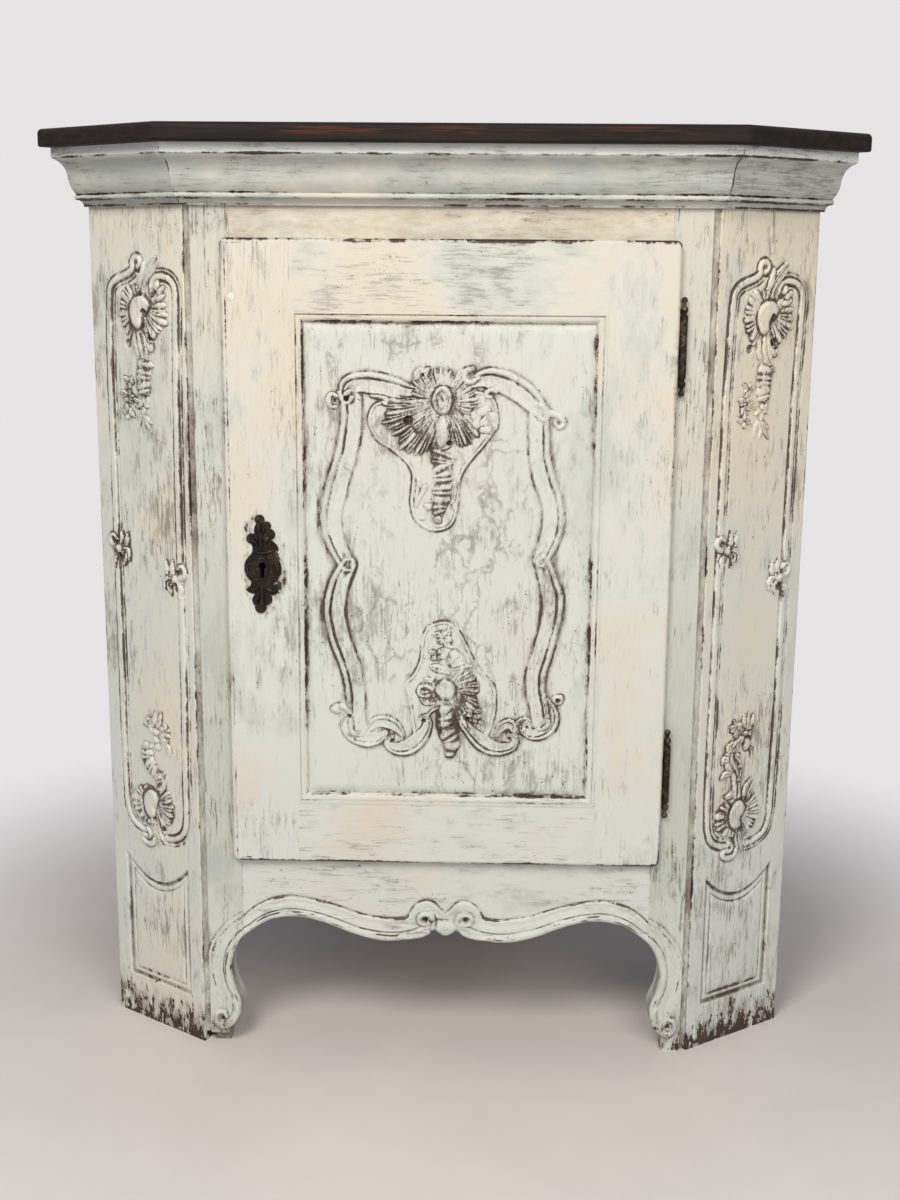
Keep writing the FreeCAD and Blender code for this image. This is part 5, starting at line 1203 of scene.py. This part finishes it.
def cutRoom(form, wallX, room):
    # a box-shaped room cut sideways into the wall at wallX; gives the new wall's place
    def wall():
        return [f for f in form.faces if all(abs(v.co.x - wallX) < 1e-5 for v in f.verts)]

    ends = [mm * np.array(room[k]) for k in "yz"]
    for normal, places in zip((Vector((0, 1, 0)), Vector((0, 0, 1))), ends):
        for place in places:
            faces = wall()
            parts = faces + [e for f in faces for e in f.edges] + [v for f in faces for v in f.verts]
            parts = list(dict.fromkeys(parts))
            bmesh.ops.bisect_plane(form, geom=parts, dist=1e-7, plane_co=normal * place, plane_no=normal)
    (nearY, farY), (lowZ, highZ) = ends
    middles = [(face, face.calc_center_bounds()) for face in wall()]
    inside = [face for face, c in middles if nearY < c.y < farY and lowZ < c.z < highZ]
    grown = bmesh.ops.extrude_face_region(form, geom=inside)["geom"]
    corners = [v for v in grown if isinstance(v, bmesh.types.BMVert)]
    bmesh.ops.translate(form, verts=corners, vec=(-mm * room["depth"], 0, 0))
    bmesh.ops.delete(form, geom=[f for f in inside if f.is_valid], context="FACES")
    return wallX - mm * room["depth"]


def cornerOrder(part):
    # a number for a face or an edge, from its first three corners
    low = sorted(corner.index for corner in part.verts)[:3]
    return sum(k * 10000 ** (2 - place) for place, k in enumerate(low))


def makeStile(side):
    p = foot
    spread = 1 if side == "right" else -1
    worn = p["wornFrom"] if side == "left" else 0.0
    edgePath = smoothPath(p["edge"], 1.2)
    topPath = smoothPath(p["bandTop"], 1.2)
    z = gridLines((worn, 215, 1.8), (215, 300, 6.0), (300, cabinet["carcassTop"], 14.0))
    order = np.argsort(edgePath[:, 1])
    inner = np.interp(z, edgePath[order, 1], edgePath[order, 0])
    inner = np.where(z < p["shapedBelow"], inner, cabinet["halfOpening"])
    share = np.linspace(0, 1, 34)
    body = inner[:, None] + share[None, :] * (p["quirkStart"] - inner[:, None])
    quirk = np.array([p["quirkStart"] + 0.25, p["quirkStart"] + 2.5, p["quirkEnd"] - 0.2, p["quirkEnd"]])
    gridX = np.hstack([body, np.repeat(quirk[None, :], z.size, 0)])
    gridZ = np.repeat(z[:, None], gridX.shape[1], 1)
    cut = Relief(gridX, gridZ)
    far, top, run = carveBand(cut, edgePath, topPath)
    beyond = cut.z < p["toeBelow"]
    share = np.where(beyond, far / p["toeBand"], far / np.maximum(far - top, 0.5))
    carved = beyond | ((top < 5) & (cut.z < p["bandBelow"]))
    low = np.clip((cut.z - 4) / 30, 0.25, 1)   # the band flattens towards the floor
    cut.h = np.where(carved, bandProfile(np.minimum(share, 0.92)) * low, 0.0)
    cut.dark = np.where(carved, bandDashes(share, run), 0.0)
    line = (~beyond) & (np.abs(top) < 1.6) & (cut.z < p["bandBelow"])
    cut.h[line] -= 0.9
    # the toe's curl
    cut.stroke("284 62, 281 46, 288 30, 300 24, 310 31, 309 43, 300 46, 296 39",
            [9, 10, 11, 11, 9, 8, 7, 5], 7.2)
    cut.hole((301, 36), 3.4, 5.0)
    height = cut.grid()
    column = np.arange(gridX.shape[1])[None, :] >= body.shape[1]
    height = np.where(column, -p["quirkDepth"], height)
    innerGap = gridX - inner[:, None]
    arris = np.where(gridZ < p["shapedBelow"], np.clip(1 - innerGap / 3.0, 0, 1) ** 2 * 1.6, 0.0)
    front = np.stack([spread * gridX, cabinet["frontY"] - height + arris, gridZ], -1)
    depth = cabinet["boardDepth"]
    mitre = cabinet["halfFront"] - depth * math.tan(cabinet["cantAngle"] / 2)
    backX = np.minimum(np.where(column, mitre, gridX), mitre)
    back = np.stack([spread * backX, np.full_like(gridX, cabinet["frontY"] + depth), gridZ], -1)
    marks = cut.marks(np.where(column, 0, height))
    # the quirk's groove is painted darker all along its length: painted shade in the groove
    marks["dark"] = np.maximum(marks["dark"], np.where(column, 0.42, 0))
    marks["hollowWaxAndShade"] = np.where(column, 0.60, marks["hollowWaxAndShade"])
    corner = np.clip(1 - np.abs(gridX - p["quirkStart"]) / 3.0, 0, 1) * 0.6
    inside = np.clip(1 - innerGap / 6.0, 0, 1) * 0.84
    marks["edge"] = np.maximum(marks["edge"] * (~column), np.maximum(corner, inside))
    pegs = ["frame_tenon_pegs"] if side == "left" else []
    piece = gridSolid(side + "_stile_carved", front, back, marks, finish["stile"], "carcass", "painted_wood",
                      side + "_front_stile", *pegs)
    if side == "left":
        form = bmesh.new()
        form.from_mesh(piece.data)
        deeper = cutRoom(form, -mm * cabinet["halfOpening"], p["keeperBed"])
        cutRoom(form, deeper, p["boltRoom"])
        bmesh.ops.recalc_face_normals(form, faces=form.faces)
        form.verts.index_update()
        for parts in (form.faces, form.edges):   # the cuts leave them in no fixed order
            parts.sort(key=cornerOrder)
            parts.index_update()
        form.to_mesh(piece.data)
        form.free()
        piece.data.set_sharp_from_angle(angle=sharpAngle)


makeApron()
makeStile("left")
makeStile("right")


# raised work on the lock plate: a collar round the keyhole, a scroll at each side, folds and leaves

lockPlate = {
    "faceY": -263.8,
    "ribs": [
        ("-241 664, -239 672, -234.5 676, -229.5 672, -228 664, -230 653, -234.5 644, -239 653, -241 663",
         [3.0, 3.4, 4.0, 3.4, 3.0]),
        ("-244 652, -250 653, -254 659, -253 666, -248 668, -246 663, -249 660", [1, 4, 5, 5, 4, 3, 2]),
        ("-225 652, -219 653, -215 659, -216 667, -221 669, -223 664, -220 661", [1, 4, 5, 5, 4, 3, 2]),
        ("-245 681, -240 683, -231 682, -223 685, -217 687", [1, 4, 5, 4, 1]),
        ("-235.5 686, -236 699, -238 711, -238.5 722", [3, 6, 5, 7, 2]),
        ("-239 692, -244 697, -250 699", [2, 5, 7, 2]),
        ("-233 692, -229 699, -224 704", [2, 5, 7, 2]),
        ("-236 704, -232 711, -229 716", [2, 4, 5, 2]),
        ("-235 640, -235.5 626, -236 608", [3, 6, 5, 9, 3]),
        ("-239 638, -246 635, -252 634", [2, 5, 4, 1]),
        ("-231 638, -224 634, -217 632", [2, 5, 6, 2]),
        ("-239 626, -243 621, -241 616", [2, 4, 3, 1]),
    ],
}


def makeLockRelief():
    p = lockPlate
    form = bmesh.new()
    turns = np.linspace(0, 2 * math.pi, 9)[:-1]
    for points, sizes in p["ribs"]:
        path = smoothPath(points, 1.2)
        way = np.gradient(path, axis=0)
        way /= np.hypot(*way.T)[:, None]
        reach = np.interp(np.linspace(0, 1, len(path)), np.linspace(0, 1, len(sizes)), sizes) / 2
        rings = []
        for (a, z), (da, dz), r in zip(path, way, reach):
            across, rise = dz * r, da * r
            ring = [
                (a - across * math.cos(t), p["faceY"] - 0.9 * r * math.sin(t), z + rise * math.cos(t))
                for t in turns
            ]
            rings.append([form.verts.new([mm * c for c in spot]) for spot in ring])
        for one, two in zip(rings, rings[1:]):
            for k in range(8):
                form.faces.new((one[k], one[k - 7], two[k - 7], two[k]))
        form.faces.new(rings[0][::-1])
        form.faces.new(rings[-1])
    bmesh.ops.recalc_face_normals(form, faces=form.faces)
    for face in form.faces:
        face.smooth = True
    mesh = bpy.data.meshes.new("escutcheon_relief")
    form.to_mesh(mesh)
    form.free()
    addPiece("escutcheon_relief", mesh, finish["iron"], "door", "dark_iron")


makeLockRelief()


# stage, light and camera

studio = {
    "floor": (0.75, 0.680, 0.645, 1), "floorDust": (0.70, 0.635, 0.605, 1),
    "backdrop": (0.80, 0.775, 0.79, 1),
    "ambient": (0.180, 0.200, 0.235, 1),
    "lamp": (1.0, 0.980, 0.925), "aim": (0, -0.2, 0.6),
    "keyLamp": {"place": (-0.9, -2.4, 2.8), "size": 1.3, "energy": 61},
    "fillLamp": {"place": (0.9, -2.8, 2.0), "size": 1.8, "energy": 42},
    "floorReach": 30,
    "lens": 45.85,
    "eye": (0.0458, -2.1532, 1.0372),
    "pitch": 12.3046, "yaw": -1.2902, "roll": 0.4501,
}


def makeStage():
    mesh = bpy.data.meshes.new("floor")
    far = studio["floorReach"]
    mesh.from_pydata([(-far, -far, 0), (far, -far, 0), (far, far, 0), (-far, far, 0)], [], [(0, 1, 2, 3)])
    addObject("floor", mesh)
    # a pale floor that turns into the backdrop's colour away from the cabinet
    material, pad, place = startMaterial("paleFloor")
    x, y, z = splitPlace(place)
    cloud = place.noise(2.2, 5.0, 0.6)
    colour = pad.blend(cloud.fade(0.35, 0.65), studio["floor"], studio["floorDust"])
    stone = pad.node("BsdfPrincipled", {}, {"Base Color": colour, "Roughness": 0.8})
    glow = pad.node("Emission", {}, {"Color": studio["backdrop"]})
    ray = pad.node("LightPath", {}, {}, 0)
    square = x * x + y * y
    away = square.sum("SQRT", square).fade(0.5, 1.3)
    surface = pad.node("MixShader", {}, {0: away * ray.most(ray.also(3)), 1: stone, 2: glow})
    pad.node("OutputMaterial", {}, {"Surface": surface})
    mesh.materials.append(material)

    world = bpy.data.worlds.new("studio")
    bpy.context.scene.world = world
    world.use_nodes = True
    world.node_tree.nodes.clear()
    sky = Sock(world.node_tree)
    ray = sky.node("LightPath", {}, {}, 0)
    seen = ray.most(ray.also(3)).most(ray.also(6))
    colour = sky.blend(seen, studio["ambient"], studio["backdrop"])
    light = sky.node("Background", {}, {"Color": colour, "Strength": 1.0})
    sky.node("OutputWorld", {}, {"Surface": light})


def addLamp(name):
    p = studio[name]
    lamp = bpy.data.lights.new(name, "AREA")
    lamp.shape = "DISK"
    lamp.size = p["size"]
    lamp.energy = p["energy"]
    lamp.color = studio["lamp"]
    made = addObject(name, lamp)
    made.location = p["place"]
    way = Vector(studio["aim"]) - Vector(p["place"])
    made.rotation_euler = way.to_track_quat("-Z", "Y").to_euler()


def makeCamera():
    p, y, r = (math.radians(studio[k]) for k in ("pitch", "yaw", "roll"))
    look = Vector((math.sin(y) * math.cos(p), math.cos(y) * math.cos(p), -math.sin(p)))
    right = Vector((math.cos(y), -math.sin(y), 0))
    up = right.cross(look)
    rightRolled = math.cos(r) * right + math.sin(r) * up
    upRolled = math.cos(r) * up - math.sin(r) * right
    camera = bpy.data.cameras.new("camera")
    camera.lens = studio["lens"]
    camera.sensor_width = 36.0
    camera.clip_start = 0.05
    camera.clip_end = 100
    made = addObject("camera", camera)
    turned = Matrix((rightRolled, upRolled, -look)).transposed().to_4x4()
    made.matrix_world = Matrix.Translation(studio["eye"]) @ turned
    bpy.context.scene.camera = made


makeStage()
addLamp("keyLamp")
addLamp("fillLamp")
makeCamera()
bpy.context.scene.view_settings.view_transform = "Standard"
print("stage, lamps and camera set")
